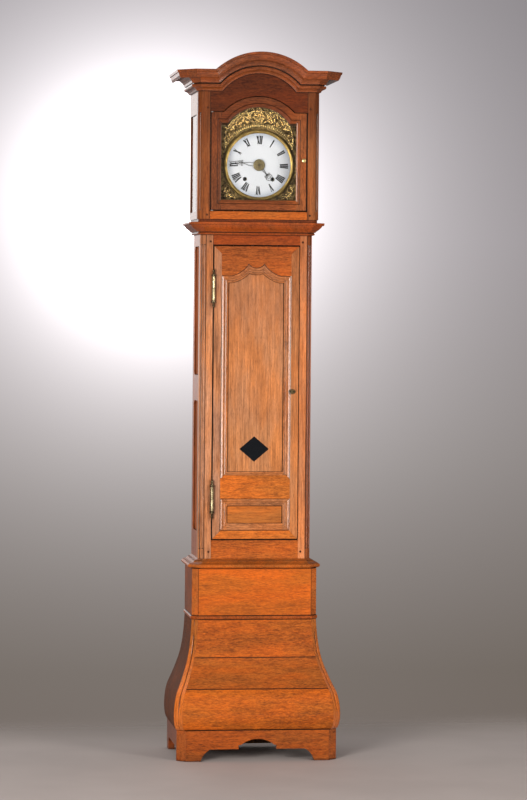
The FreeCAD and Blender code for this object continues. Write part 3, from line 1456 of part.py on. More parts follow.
thin_arbor_share = 0.7
centre_layer_share = 3
third_layer_share = 5
escape_layer_share = 3.6
drum_front_share = 2
drum_back_share = 2
arbor = float(arbor_radius)
thin_arbor = arbor * thin_arbor_share
board = float(wheel_board)
long_pinion = float(pinion_length)
bar_front = float(cage_y)
inside_front = float(cage_y + bar_board)
inside_back = float(cage_back - bar_board)
arbor_ends = (bar_front, float(cage_back))
layer_gap = size("layer_gap", 12.0)
layer = float(layer_gap)
great_y = inside_front + layer
centre_y = inside_front + centre_layer_share * layer
third_y = inside_front + third_layer_share * layer
escape_y = inside_front + escape_layer_share * layer
to_great = bearing(centre_spot, great_spot)
to_third = bearing(centre_spot, third_spot)
third_to_escape = bearing(third_spot, escape_spot)
hub_radius = size("hub_radius", 8.0)
bore = arbor + float(running_gap)

great_wheel = gear(great_spot, great_y, great_teeth, great_module, to_great + math.pi, board,
                   windows=6)
great_hub = shaft(great_spot, great_y - board, great_y + board, float(hub_radius))
great_bore = shaft(great_spot, great_y - layer, great_y + layer, bore)
node("going_great_wheel", feature("great_wheel",
                                  fused([great_wheel, great_hub]).cut(great_bore)))

hand_board = size("hand_board", 1.5)
hand_gap = size("hand_gap", 1.5)
disc_radius = size("disc_radius", 20.5)
disc_board = size("disc_board", 3.0)
hour_front = dial_y - hand_gap - hand_board
minute_front = hour_front - hand_gap - hand_board
disc_back = minute_front - joint_gap
centre_pinion = gear(centre_spot, great_y - (long_pinion - board) / 2, centre_pinion_teeth,
                     great_module, to_great, long_pinion, gap_first=True)
centre_wheel = gear(centre_spot, centre_y, centre_teeth, float(third_module), to_third, board,
                    windows=5)
centre_shaft = shaft(centre_spot, float(disc_back), arbor_ends[1], arbor)
node("centre_wheel", feature("centre_wheel_piece",
                             fused([centre_shaft, centre_pinion, centre_wheel])))

third_pinion = gear(third_spot, centre_y - (long_pinion - board) / 2, third_pinion_teeth,
                    float(third_module), to_third + math.pi, long_pinion, gap_first=True)
third_wheel = gear(third_spot, third_y, third_teeth, float(escape_module), third_to_escape,
                   board, windows=5)
third_shaft = shaft(third_spot, *arbor_ends, thin_arbor)
node("third_wheel", feature("third_wheel_piece",
                            fused([third_shaft, third_pinion, third_wheel])))


escape_tooth_shares = ((0.0, 0.8), (0.12, 1.0), (0.22, 1.0), (0.62, 0.8))


def escape_blank():
    """An escape wheel with raked pointed teeth."""
    points = []
    step = 2 * math.pi / escape_teeth
    for tooth in range(escape_teeth):
        for turn, reach in escape_tooth_shares:
            angle = (tooth + turn) * step
            radius = reach * float(escape_radius)
            points.append(Vector(escape_spot[0] + radius * math.cos(angle), escape_y,
                                 escape_spot[1] + radius * math.sin(angle)))
    face = Part.Face(Part.makePolygon(points + [points[0]]))
    return face.extrude(Vector(0, board, 0))


escape_pinion = gear(escape_spot, third_y - (long_pinion - board) / 2, escape_pinion_teeth,
                     float(escape_module), third_to_escape + math.pi, long_pinion, gap_first=True)
escape_shaft = shaft(escape_spot, *arbor_ends, thin_arbor)
node("escape_wheel", feature("escape_wheel_piece",
                             fused([escape_shaft, escape_pinion, escape_blank()])))

# Anchor with its arbor and crutch, and the pendulum behind the cage

pallet_reach_share = 0.92
pallet_drop_share = 0.60
anchor_neck_share = 1.4
pallet_width = size("pallet_width", 4.0)
anchor_board = size("anchor_board", 6.0)
anchor_hub = size("anchor_hub", 7.0)
crutch_width = size("crutch_width", 8.0)
crutch_length = size("crutch_length", 118.0)
crutch_board = size("crutch_board", 3.0)
crutch_gap = size("crutch_gap", 5.0)
fork_reach = size("fork_reach", 22.0)
fork_side = size("fork_side", 3.0)
rod_gap = size("rod_gap", 0.3)
rod_width = size("rod_width", 9.0)
rod_board = size("rod_board", 4.0)
pendulum_gap = size("pendulum_gap", 17.0)
pendulum_length = size("pendulum_length", 1089.0)
bob_radius = size("bob_radius", 84.0)
bob_board = size("bob_board", 30.0)
eye_radius = size("eye_radius", 8.0)
eye_pin_radius = size("eye_pin_radius", 2.5)
nut_height = size("nut_height", 14.0)

ax, az = anchor_spot
reach_x = float(escape_radius) * pallet_reach_share + float(pallet_width)
pallet_low = az - float(anchor_rise) * pallet_drop_share
thick = float(pallet_width)
neck = anchor_neck_share * thick
anchor_points = [
    (ax - reach_x, pallet_low), (ax - reach_x + thick, pallet_low),
    (ax - reach_x + thick, az - neck), (ax, az - thick),
    (ax + reach_x - thick, az - neck), (ax + reach_x - thick, pallet_low),
    (ax + reach_x, pallet_low), (ax + reach_x, az), (ax, az + thick), (ax - reach_x, az)]
anchor_y = escape_y - (float(anchor_board) - board) / 2
anchor_face = Part.Face(Part.makePolygon(
    [Vector(x, anchor_y, z) for x, z in anchor_points + anchor_points[:1]]))
anchor_body = anchor_face.extrude(Vector(0, float(anchor_board), 0))
crutch_y = float(cage_back + crutch_gap)
pendulum_y = float(cage_back + pendulum_gap)
crutch_low = az - float(crutch_length)
crutch = Part.makeBox(float(crutch_width), float(crutch_board), float(crutch_length),
                      Vector(ax - float(crutch_width) / 2, crutch_y, crutch_low))
fork_x = float(rod_width) / 2 + float(rod_gap)
fork_bar = Part.makeBox(2 * (fork_x + float(fork_side)), float(crutch_board), 2 * float(fork_side),
                        Vector(ax - fork_x - float(fork_side), crutch_y, crutch_low))
prongs = [Part.makeBox(float(fork_side), float(fork_reach), 2 * float(fork_side),
                       Vector(x, crutch_y, crutch_low))
          for x in (ax - fork_x - float(fork_side), ax + fork_x)]
anchor_hub_disc = shaft(anchor_spot, anchor_y - board, anchor_y + float(anchor_board) + board,
                        float(anchor_hub))
anchor_shaft = shaft(anchor_spot, bar_front, crutch_y + float(crutch_board), thin_arbor)
node("anchor", feature("anchor_piece", fused(
    [anchor_body, anchor_hub_disc, anchor_shaft, crutch, fork_bar] + prongs)))

rod_front = pendulum_y - float(rod_board) / 2
bob_z = az - float(pendulum_length)
rod_low = bob_z - float(bob_radius + nut_height)
rod_strip = Part.makeBox(float(rod_width), float(rod_board), az - rod_low,
                         Vector(ax - float(rod_width) / 2, rod_front, rod_low))
eye = shaft(anchor_spot, rod_front, rod_front + float(rod_board), float(eye_radius))
eye_bore = shaft(anchor_spot, rod_front - board, rod_front + float(rod_board) + board,
                 float(eye_pin_radius + running_gap))
rating_nut = Part.makeCylinder(float(rod_width), float(nut_height),
                               Vector(ax, pendulum_y, rod_low), UP)
node("pendulum_rod", feature("pendulum_rod_piece",
                             fused([rod_strip, eye, rating_nut]).cut(eye_bore)))

bob_shares = [(0.0, 0.5), (0.45, 0.46), (0.75, 0.33), (0.93, 0.16), (1.0, 0.0)]
bob_half = [(float(bob_radius) * wide, float(bob_board) * tall) for wide, tall in bob_shares]
lens = [Vector(wide, -tall, 0) for wide, tall in bob_half]
lens += [Vector(wide, tall, 0) for wide, tall in reversed(bob_half[:-1])]
lens_face = Part.Face(Part.makePolygon(lens + [lens[0]]))
bob = lens_face.revolve(Vector(0, 0, 0), Vector(0, 1, 0), FULL_TURN)
bob.translate(Vector(ax, pendulum_y, bob_z))
slot_spare = float(joint_gap)
slot_low = bob_z - float(bob_radius + cutter_overrun)
bob_slot = Part.makeBox(float(rod_width) + 2 * slot_spare, float(rod_board) + 2 * slot_spare,
                        2 * float(bob_radius + cutter_overrun),
                        Vector(ax - float(rod_width) / 2 - slot_spare, rod_front - slot_spare,
                               slot_low))
node("pendulum_bob", feature("bob", bob.cut(bob_slot)))

# Barrels with their winding squares, and the striking wheel on its barrel

drum_front = great_y + drum_front_share * board
drum_back = inside_back - drum_back_share * layer
flange_radius = size("flange_radius", 34.0)
square_side = size("square_side", 5.0)
winding_end = float(dial_y - hand_gap)


def drum(spot, first_y, last_y):
    """A rope drum between two flanges on an arbor with a square winding end."""
    flange = float(flange_radius)
    side = float(square_side)
    parts = [shaft(spot, first_y, last_y, float(drum_radius)),
             shaft(spot, first_y, first_y + board, flange),
             shaft(spot, last_y - board, last_y, flange),
             shaft(spot, bar_front, arbor_ends[1], arbor),
             Part.makeBox(side, bar_front - winding_end, side,
                          Vector(spot[0] - side / 2, winding_end, spot[1] - side / 2))]
    return parts


striking_spot = (float(striking_x), float(drum_z))
node("going_barrel", feature("going_drum", fused(drum(great_spot, drum_front, drum_back))))
strike_wheel = gear(striking_spot, drum_back, strike_teeth,
                    2 * float(strike_wheel_radius) / strike_teeth, 0.0, board, windows=6)
node("striking_barrel", feature("striking_drum", fused(
    drum(striking_spot, drum_front, drum_back) + [strike_wheel])))

# Weights on lines that leave the outer sides of the drums

weight_radius = size("weight_radius", 42.0)
weight_height = size("weight_height", 230.0)
weight_hook = size("weight_hook", 24.0)
weight_hook_radius = size("weight_hook_radius", 4.0)
weight_drop = size("weight_drop", 540.0)
weight_shares = [(0.0, 0.0), (0.86, 0.0), (1.0, 0.04), (1.0, 0.90), (0.84, 0.96), (0.20, 1.0),
                 (0.0, 1.0)]
weight_top = drum_z - weight_drop
for name, x in zip(("striking", "going"), line_x):
    body = turned(name + "_weight_body", (x, as_size(drum_y), weight_top - weight_height), UP,
                  scaled(weight_shares, weight_radius, weight_height))
    hook = rod(name + "_hook", (x, drum_y, weight_top - cutter_overrun), UP, weight_hook_radius,
               weight_hook + cutter_overrun)
    node(name + "_weight", fuse(name + "_weight_piece", body, hook))
    node(name + "_line", rod(name + "_line_piece", (x, drum_y, weight_top + weight_hook), UP,
                             line_radius, weight_drop - weight_hook))

# Fly, hammer and bell of the striking side

fly_rise = size("fly_rise", 70.0)
fly_reach = size("fly_reach", 24.0)
fly_board = size("fly_board", 1.2)
fly_layer_share = 4
fly_spot = (float(striking_x), float(dial_z + fly_rise))
fly_blade = Part.makeBox(2 * float(fly_reach), fly_layer_share * layer, float(fly_board),
                         Vector(fly_spot[0] - float(fly_reach), inside_front + layer,
                                fly_spot[1] - float(fly_board) / 2))
node("fly", feature("fly_piece", fused([shaft(fly_spot, *arbor_ends, thin_arbor), fly_blade])))

bell_radius = size("bell_radius", 52.0)
bell_board = size("bell_board", 3.0)
bell_lift = size("bell_lift", 34.0)
bell_post_radius = size("bell_post_radius", 4.0)
hammer_side = size("hammer_side", 84.0)
hammer_lift = size("hammer_lift", 16.0)
hammer_gap = size("hammer_gap", 4.0)
hammer_head = size("hammer_head", 14.0)
bell_x = float(dial_x)
bell_y = float(drum_y)
bell_low = float(cage_top + bell_lift)
bell_dome = Part.makeSphere(float(bell_radius), Vector(bell_x, bell_y, bell_low), UP, 0, 90, 360)
bell_inside = Part.makeSphere(float(bell_radius - bell_board), Vector(bell_x, bell_y, bell_low),
                              UP, -90, 90, 360)
post_bore = Part.makeCylinder(float(bell_post_radius + joint_gap), 2 * float(bell_radius),
                              Vector(bell_x, bell_y, bell_low), UP)
node("bell", feature("bell_piece", bell_dome.cut(bell_inside).cut(post_bore)))

hammer_spot = (bell_x + float(hammer_side), float(cage_top + hammer_lift))
arm_x = bell_x + float(bell_radius + hammer_gap)
head_z = bell_low + float(hammer_head) / 2
head = Part.makeCylinder(float(hammer_head) / 2, float(hammer_head),
                         Vector(arm_x, bell_y, head_z), Vector(1, 0, 0))
arm = Part.makeBox(hammer_spot[0] - arm_x, float(anchor_board), float(hub_radius) / 2,
                   Vector(arm_x, bell_y - float(anchor_board) / 2, head_z))
upright = Part.makeBox(float(anchor_board), float(anchor_board), head_z - hammer_spot[1],
                       Vector(hammer_spot[0] - float(anchor_board) / 2,
                              bell_y - float(anchor_board) / 2, hammer_spot[1]))
upright.translate(Vector(0, 0, float(hub_radius) / 2))
hammer_eye = shaft(hammer_spot, bell_y - layer / 2, bell_y + layer / 2, float(hub_radius))
hammer_bore = shaft(hammer_spot, bell_y - layer, bell_y + layer, bore)
node("hammer", feature("hammer_piece", fused([head, arm, upright, hammer_eye]).cut(hammer_bore)))

# Cage: iron plates, pillars and bars, with the cock of the pendulum and the bell post

pillar = float(pillar_side)
sheet_iron = float(cage_plate)
left_x = float(dial_x - cage_width / 2)
right_x = float(dial_x + cage_width / 2)
low_z = float(cage_low)
top_z = float(cage_top)
deep = float(cage_depth)
cage_parts = [
    Part.makeBox(right_x - left_x, deep, sheet_iron, Vector(left_x, bar_front, low_z)),
    Part.makeBox(right_x - left_x, deep, sheet_iron, Vector(left_x, bar_front, top_z - sheet_iron))]
for x in (left_x, right_x - pillar):
    for y in (bar_front, float(cage_back) - pillar):
        cage_parts.append(Part.makeBox(pillar, pillar, top_z - low_z, Vector(x, y, low_z)))
bar_spots = ((float(striking_x), float(bar_width)), (float(dial_x), float(centre_bar_width)),
             (float(going_x), float(bar_width)))
bar_thickness = float(bar_board - bar_recess)
for x, wide in bar_spots:
    for y in (bar_front + float(bar_recess), inside_back):
        cage_parts.append(Part.makeBox(wide, bar_thickness, top_z - low_z,
                                       Vector(x - wide / 2, y, low_z)))
cock_y = pendulum_y + float(rod_board) / 2 + 2 * float(washer_gap)
cock_depth = float(bar_board)
cage_parts += [
    Part.makeBox(float(centre_bar_width), cock_y + cock_depth - float(cage_back), sheet_iron,
                 Vector(ax - float(centre_bar_width) / 2, float(cage_back), top_z - sheet_iron)),
    Part.makeBox(float(bar_width), cock_depth, top_z - az + pillar,
                 Vector(ax - float(bar_width) / 2, cock_y, az - pillar)),
    shaft(anchor_spot, rod_front - float(washer_gap), cock_y + cock_depth, float(eye_pin_radius)),
    Part.makeCylinder(float(bell_post_radius), bell_low + float(bell_radius) - top_z + sheet_iron,
                      Vector(bell_x, bell_y, top_z - sheet_iron), UP),
    shaft(hammer_spot, bell_y - layer, bell_y + layer, arbor),
    Part.makeBox(pillar, sheet_iron, hammer_spot[1] + pillar - top_z,
                 Vector(hammer_spot[0] - pillar / 2, bell_y + layer - sheet_iron, top_z))]
dial_foot = size("dial_foot", 96.0)
foot = float(dial_foot)
plate_back = float(plate_y + plate_board)
for side_x in (-foot, foot):
    for side_z in (-foot, foot):
        spot = (float(dial_x) + side_x, float(dial_z) + side_z)
        cage_parts.append(shaft(spot, plate_back, bar_front + pillar, arbor))
        strap_low = min(spot[1] - pillar / 2, spot[1] + pillar / 2)
        cage_parts.append(Part.makeBox(float(cage_width) / 2 - foot + pillar / 2, sheet_iron, pillar,
                                       Vector(spot[0] - pillar / 2 if side_x > 0 else left_x,
                                              bar_front, strap_low)))
cage = fused(cage_parts)
cage_holes = [shaft(spot, bar_front - layer, float(cage_back) + layer, radius + float(running_gap))
              for spot, radius in ((centre_spot, arbor), (third_spot, thin_arbor),
                                   (escape_spot, thin_arbor), (anchor_spot, thin_arbor),
                                   (great_spot, arbor), (striking_spot, arbor),
                                   (fly_spot, thin_arbor))]
cage_holes[3] = shaft(anchor_spot, bar_front - layer, float(cage_back) + float(crutch_gap),
                      thin_arbor + float(running_gap))
overrun = float(cutter_overrun)
cage_holes += [Part.makeCylinder(float(line_clearance), sheet_iron + 2 * overrun,
                                 Vector(float(x), float(drum_y), low_z - overrun), UP)
               for x in line_x]
for hole in cage_holes:
    cage = cage.cut(hole)
node("movement_cage", feature("cage", cage))

# Dial: enamel disc, bezel, embossed plate, hands and centre disc

bezel_width = size("bezel_width", 12.5)
bezel_lap = size("bezel_lap", 1.5)
bezel_height = size("bezel_height", 8.0)
winding_radius = size("winding_radius", 7.3)
centre_hole = size("centre_hole", 6.5)
pipe_radius = size("pipe_radius", 5.0)
minute_length = size("minute_length", 108.0)
hour_length = size("hour_length", 72.0)
minute_angle = 277.0
hour_angle = 139.5
frieze_half = size("frieze_half", 133.0)
frieze_low = size("frieze_low", 123.0)
frieze_shoulder = size("frieze_shoulder", 138.0)
frieze_arch_half = size("frieze_arch_half", 112.0)
frieze_arch_rise = size("frieze_arch_rise", 65.0)

enamel_edge_share = 0.96
enamel_rise_share = 0.8
enamel_flat_share = 0.8
winding_spots = [(going_x, drum_z, winding_radius), (striking_x, drum_z, winding_radius)]
enamel = turned("enamel_disc", (dial_x, plate_y, dial_z), TO_FRONT, [
    (centre_hole, as_size(0)), (enamel_radius, as_size(0)), (enamel_radius, enamel_board / 2),
    (enamel_radius * enamel_edge_share, enamel_board * enamel_rise_share),
    (enamel_radius * enamel_flat_share, enamel_board),
    (centre_hole, enamel_board)])
enamel_holes = [rod("enamel_hole_%d" % number, (spot[0], plate_y + cutter_overrun, spot[1]),
                    TO_FRONT, spot[2], enamel_board + 2 * cutter_overrun)
                for number, spot in enumerate(winding_spots)]
node("dial_enamel", cut("enamel_piece", enamel, *enamel_holes))

bezel_shares = [(0.0, 0.56), (0.10, 0.72), (0.30, 0.82), (0.42, 0.98), (0.62, 1.0), (0.80, 0.84),
                (0.92, 0.60), (1.0, 0.50), (1.0, 0.0)]
bezel_inner = enamel_radius + joint_gap
bezel_profile = [(bezel_inner - bezel_lap + (bezel_width + bezel_lap) * across, bezel_height * up)
                 for across, up in bezel_shares]
lap_level = enamel_board + joint_gap
node("dial_bezel", turned("bezel", (dial_x, plate_y, dial_z), TO_FRONT,
                          [(bezel_inner, as_size(0)), (bezel_inner, lap_level),
                           (bezel_inner - bezel_lap, lap_level)] + bezel_profile[1:]))

frieze_top = dial_z + frieze_shoulder
frieze_left = dial_x - frieze_half
frieze_right = dial_x + frieze_half
frieze = front_plate("frieze", plate_y, plate_board, [
    (frieze_left, dial_z - frieze_low), (frieze_right, dial_z - frieze_low),
    (frieze_right, frieze_top), (dial_x + frieze_arch_half, frieze_top, -frieze_arch_rise),
    (dial_x - frieze_arch_half, frieze_top), (frieze_left, frieze_top)],
    circles=[(dial_x, dial_z, centre_hole)] + winding_spots)
node("frieze_plate", frieze)

hour_shares = [
    (1.0, 0.0), (1.0, 0.12), (0.32, 0.16), (0.32, 0.42), (1.0, 0.50), (1.15, 0.60),
    (0.75, 0.70), (0.30, 0.76), (0.30, 0.86), (0.0, 1.0)]
minute_shares = [
    (1.0, 0.0), (1.0, 0.08), (0.34, 0.12), (0.30, 0.62), (0.85, 0.68), (1.0, 0.74),
    (0.70, 0.80), (0.28, 0.86), (0.0, 1.0)]
hand_width = size("hand_width", 8.0)
hand_hub_share = 1.3


def hand(shares, length, angle, front, hub, hand_bore):
    """A flat hand pointing up from the dial centre, turned clockwise to its rest angle."""
    cx, cz = centre_spot
    right = [(float(hand_width) * wide, float(length) * tall) for wide, tall in shares]
    left = [(-wide, tall) for wide, tall in reversed(right[:-1])]
    points = [Vector(cx + wide, front, cz + tall) for wide, tall in right + left]
    blade = Part.Face(Part.makePolygon(points + [points[0]]))
    blade = blade.extrude(Vector(0, float(hand_board), 0))
    blade.rotate(Vector(cx, 0, cz), Vector(0, 1, 0), angle)
    disc = shaft(centre_spot, front, front + float(hand_board), hub)
    whole = fused([blade, disc])
    return whole.cut(shaft(centre_spot, front - board, front + layer, hand_bore))


hand_hub = hand_hub_share * float(hand_width)
minute_shape = hand(minute_shares, minute_length, minute_angle, float(minute_front),
                    hand_hub, arbor + float(joint_gap) / 2)
node("minute_hand", feature("minute_hand_piece", minute_shape))
hour_blade = hand(hour_shares, hour_length, hour_angle, float(hour_front),
                  hand_hub, bore)
hour_pipe = shaft(centre_spot, float(hour_front), bar_front - float(hand_gap),
                  float(pipe_radius)).cut(
    shaft(centre_spot, float(hour_front) - board, bar_front, bore))
hour_shape = fused([hour_blade, hour_pipe])
node("hour_hand", feature("hour_hand_piece", hour_shape))
disc_shares = [(0.0, 0.0), (0.92, 0.0), (1.0, 0.18), (0.94, 0.55), (0.72, 0.82), (0.40, 0.94),
               (0.22, 1.0), (0.0, 1.0)]
node("centre_disc", turned("centre_boss", (dial_x, disc_back, dial_z), TO_FRONT,
                           scaled(disc_shares, disc_radius, disc_board)))

# Oak pegs through the corner joints

pegs = []
for side in (-1, 1):
    for number, level in enumerate(trunk_peg_levels):
        pegs.append(peg("trunk_peg_%d_%d" % (side + 1, number), side * trunk_peg_x, trunk_front,
                        level))
    for number, level in enumerate(hood_peg_levels):
        pegs.append(peg("hood_peg_%d_%d" % (side + 1, number), side * hood_peg_x, hood_front,
                        level))
node("oak_pegs", group("oak_pegs_group", *pegs))

# Recompute, check and write every sub-part

doc.recompute()
for item in doc.Objects:
    if "Invalid" in item.State or "Error" in item.State:
        raise RuntimeError("object failed: " + item.Name)
for name, piece in pieces:
    shape = piece.Shape
    if shape.isNull() or not shape.isValid() or not shape.Solids:
        raise RuntimeError("bad shape: " + name)
    if shape.Volume <= 0:
        raise RuntimeError("no volume: " + name)
for name, piece in pieces:
    piece.Shape.exportStep("parts/" + name + ".step")
print(len(pieces), "sub-parts written")
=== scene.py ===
import math

import bpy
import numpy as np
from mathutils import Matrix, Vector


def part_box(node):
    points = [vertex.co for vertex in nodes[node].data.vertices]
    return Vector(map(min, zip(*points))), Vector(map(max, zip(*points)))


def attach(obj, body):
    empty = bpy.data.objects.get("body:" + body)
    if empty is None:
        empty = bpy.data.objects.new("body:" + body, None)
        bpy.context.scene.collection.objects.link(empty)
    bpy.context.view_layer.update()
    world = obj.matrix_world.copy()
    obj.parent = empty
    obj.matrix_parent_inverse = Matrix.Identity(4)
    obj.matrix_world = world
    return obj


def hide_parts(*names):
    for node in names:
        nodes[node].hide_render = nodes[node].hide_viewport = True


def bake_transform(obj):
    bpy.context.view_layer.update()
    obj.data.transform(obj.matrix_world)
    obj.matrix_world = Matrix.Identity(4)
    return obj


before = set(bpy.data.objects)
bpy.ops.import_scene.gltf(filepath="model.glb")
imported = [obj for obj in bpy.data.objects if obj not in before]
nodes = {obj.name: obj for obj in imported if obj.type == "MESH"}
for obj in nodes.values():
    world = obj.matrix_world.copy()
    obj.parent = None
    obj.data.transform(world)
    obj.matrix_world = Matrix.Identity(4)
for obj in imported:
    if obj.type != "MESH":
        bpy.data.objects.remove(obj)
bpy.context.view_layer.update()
MM = 0.001
DIAL_X, DIAL_Z = 0.009, 2.0634
PLATE_Y = -0.0035
ENAMEL_RADIUS, ENAMEL_BOARD = 0.1135, 0.0045


# Node tree helpers

class Shader:
    """A material's or world's node tree, with short ways to add nodes."""

    def __init__(self, owner):
        self.owner = owner
        owner.use_nodes = True
        self.tree = owner.node_tree
        self.tree.nodes.clear()
        self.place = None

    def node(self, kind, inputs=None, **settings):
        made = self.tree.nodes.new(kind)
        for key, value in settings.items():
            setattr(made, key, value)
        for key, value in (inputs or {}).items():
            self.feed(made.inputs[key], value)
        return made

    def feed(self, socket, value):
        if isinstance(value, bpy.types.NodeSocket):
            self.tree.links.new(value, socket)
        else:
            socket.default_value = colour(value) if socket.type == "RGBA" else value

    def position(self):
        if self.place is None:
            coordinates = self.node("ShaderNodeTexCoord").outputs["Object"]
            self.place = self.node("ShaderNodeSeparateXYZ", {0: coordinates}).outputs
        return self.place

    def spot(self):
        """The position as one vector."""
        return self.vector(*self.position())

    def math(self, operation, first, second=0.0, clamp=False):
        made = self.node("ShaderNodeMath", {0: first, 1: second},
                         operation=operation, use_clamp=clamp)
        return made.outputs[0]

    def scaled(self, value, factor):
        return self.math("MULTIPLY", value, factor)

    def centred(self, value, weight):
        """A noise of 0 to 1 as a change about nothing, of some weight."""
        return self.scaled(self.math("SUBTRACT", value, 0.5), weight)

    def from_dial(self):
        """Distance from the middle of the dial."""
        x, y, z = self.position()
        across, lift = self.math("SUBTRACT", x, DIAL_X), self.math("SUBTRACT", z, DIAL_Z)
        return self.math("SQRT", self.math("ADD", self.math("MULTIPLY", across, across),
                                           self.math("MULTIPLY", lift, lift)))

    def vector(self, x, y, z):
        return self.node("ShaderNodeCombineXYZ", {0: x, 1: y, 2: z}).outputs[0]

    def noise(self, vector, scale, detail=2.0, roughness=0.5, distortion=0.0):
        made = self.node("ShaderNodeTexNoise", {
            "Vector": vector, "Scale": scale, "Detail": detail, "Roughness": roughness,
            "Distortion": distortion})
        return made.outputs["Fac"]

    def span(self, value, low, high, to_low=0.0, to_high=1.0, smooth=True):
        made = self.node("ShaderNodeMapRange", {
            "Value": value, "From Min": low, "From Max": high, "To Min": to_low,
            "To Max": to_high})
        made.interpolation_type = "SMOOTHSTEP" if smooth else "LINEAR"
        return made.outputs[0]

    def mix(self, factor, first, second, blend="MIX"):
        made = self.node("ShaderNodeMix", data_type="RGBA", blend_type=blend)
        self.feed(made.inputs["Factor"], factor)
        self.feed(made.inputs["A"], colour(first))
        self.feed(made.inputs["B"], colour(second))
        return made.outputs["Result"]

    def ramp(self, factor, stops):
        made = self.node("ShaderNodeValToRGB", {"Fac": factor})
        elements = made.color_ramp.elements
        while len(elements) < len(stops):
            elements.new(0.5)
        for element, (spot, shade) in zip(elements, stops):
            element.position = spot
            element.color = colour(shade)
        return made.outputs["Color"]

    def bump(self, height, strength, distance, normal=None):
        made = self.node("ShaderNodeBump", {
            "Height": height, "Strength": strength, "Distance": distance})
        if normal is not None:
            self.feed(made.inputs["Normal"], normal)
        return made.outputs[0]

    def soft_edges(self, radius):
        return self.node("ShaderNodeBevel", {"Radius": radius}, samples=4).outputs[0]

    def hollows(self, distance):
        """0 in the open, 1 deep in a corner or a narrow gap."""
        shade = self.node("ShaderNodeAmbientOcclusion", {"Distance": distance}, samples=8)
        return self.math("SUBTRACT", 1.0, shade.outputs["AO"], clamp=True)

    def surface(self, shader):
        target = "ShaderNodeOutputMaterial"
        if isinstance(self.owner, bpy.types.World):
            target = "ShaderNodeOutputWorld"
        self.node(target, {"Surface": shader})
        return self.owner

    def principled(self, **sockets):
        made = self.node("ShaderNodeBsdfPrincipled")
        for key, value in sockets.items():
            self.feed(made.inputs[key.replace("_", " ").title().replace("Ior", "IOR")], value)
        return made.outputs[0]


def colour(shade):
    if isinstance(shade, tuple) and len(shade) == 3:
        return (*shade, 1.0)
    return shade


def srgb(red, green, blue):
    """A screen colour of 0 to 255 as linear light."""
    def linear(level):
        level /= 255.0
        return level / 12.92 if level <= 0.04045 else ((level + 0.055) / 1.055) ** 2.4
    return (linear(red), linear(green), linear(blue))


def material(name):
    return Shader(bpy.data.materials.new(name))


# Waxed oak: tone, growth rings, pores, painted shade in the hollows and softly worn edges

def grain_space(sh, along, seed, edge):
    """Position with the grain along its last axis, at full scale."""
    x, y, z = sh.position()
    upright = sh.vector(sh.math("ADD", x, seed), sh.math("ADD", y, seed), z)
    level = sh.vector(sh.math("ADD", z, seed), sh.math("ADD", y, seed), x)
    if along == "z":
        return upright
    if along == "x":
        return level
    if along == "split":
        return mix_vectors(sh, sh.math("GREATER_THAN", z, edge), level, upright)
    if along == "wrap":
        return sh.vector(sh.math("ADD", z, seed), sh.math("SUBTRACT", x, y),
                         sh.math("ADD", x, y))
    side = sh.math("GREATER_THAN", sh.math("ABSOLUTE", x), edge)
    return mix_vectors(sh, side, level, upright)


def mix_vectors(sh, factor, first, second):
    made = sh.node("ShaderNodeMix", data_type="VECTOR")
    sh.feed(made.inputs["Factor"], factor)
    vectors = [socket for socket in made.inputs if socket.type == "VECTOR" and socket.enabled]
    sh.feed(vectors[-2], first)
    sh.feed(vectors[-1], second)
    return [socket for socket in made.outputs if socket.type == "VECTOR"][0]


def stretched(sh, space, across, along):
    made = sh.node("ShaderNodeMapping", {"Vector": space, "Scale": (across, across, along)})
    return made.outputs[0]


def joint_and_shade_lines(sh, places, reach):
    """A mask of fine dark lines, each an axis and a place on it: joints along the edges of boards,
    and painted shade along the arrises and flutes of the trunk posts.
    """
    total = None
    for axis, place in places:
        gap = sh.math("ABSOLUTE", sh.math("SUBTRACT", sh.position()[axis], place))
        line = sh.span(gap, reach, 0.4 * reach)
        total = line if total is None else sh.math("MAXIMUM", total, line)
    return total


def tinted(sh, shade, axis, start, stop, factors):
    """The same colour times some factors, which come in from start to stop along an axis."""
    share = sh.span(sh.position()[axis], start, stop)
    return sh.mix(share, shade, sh.mix(1.0, shade, factors, "MULTIPLY"))


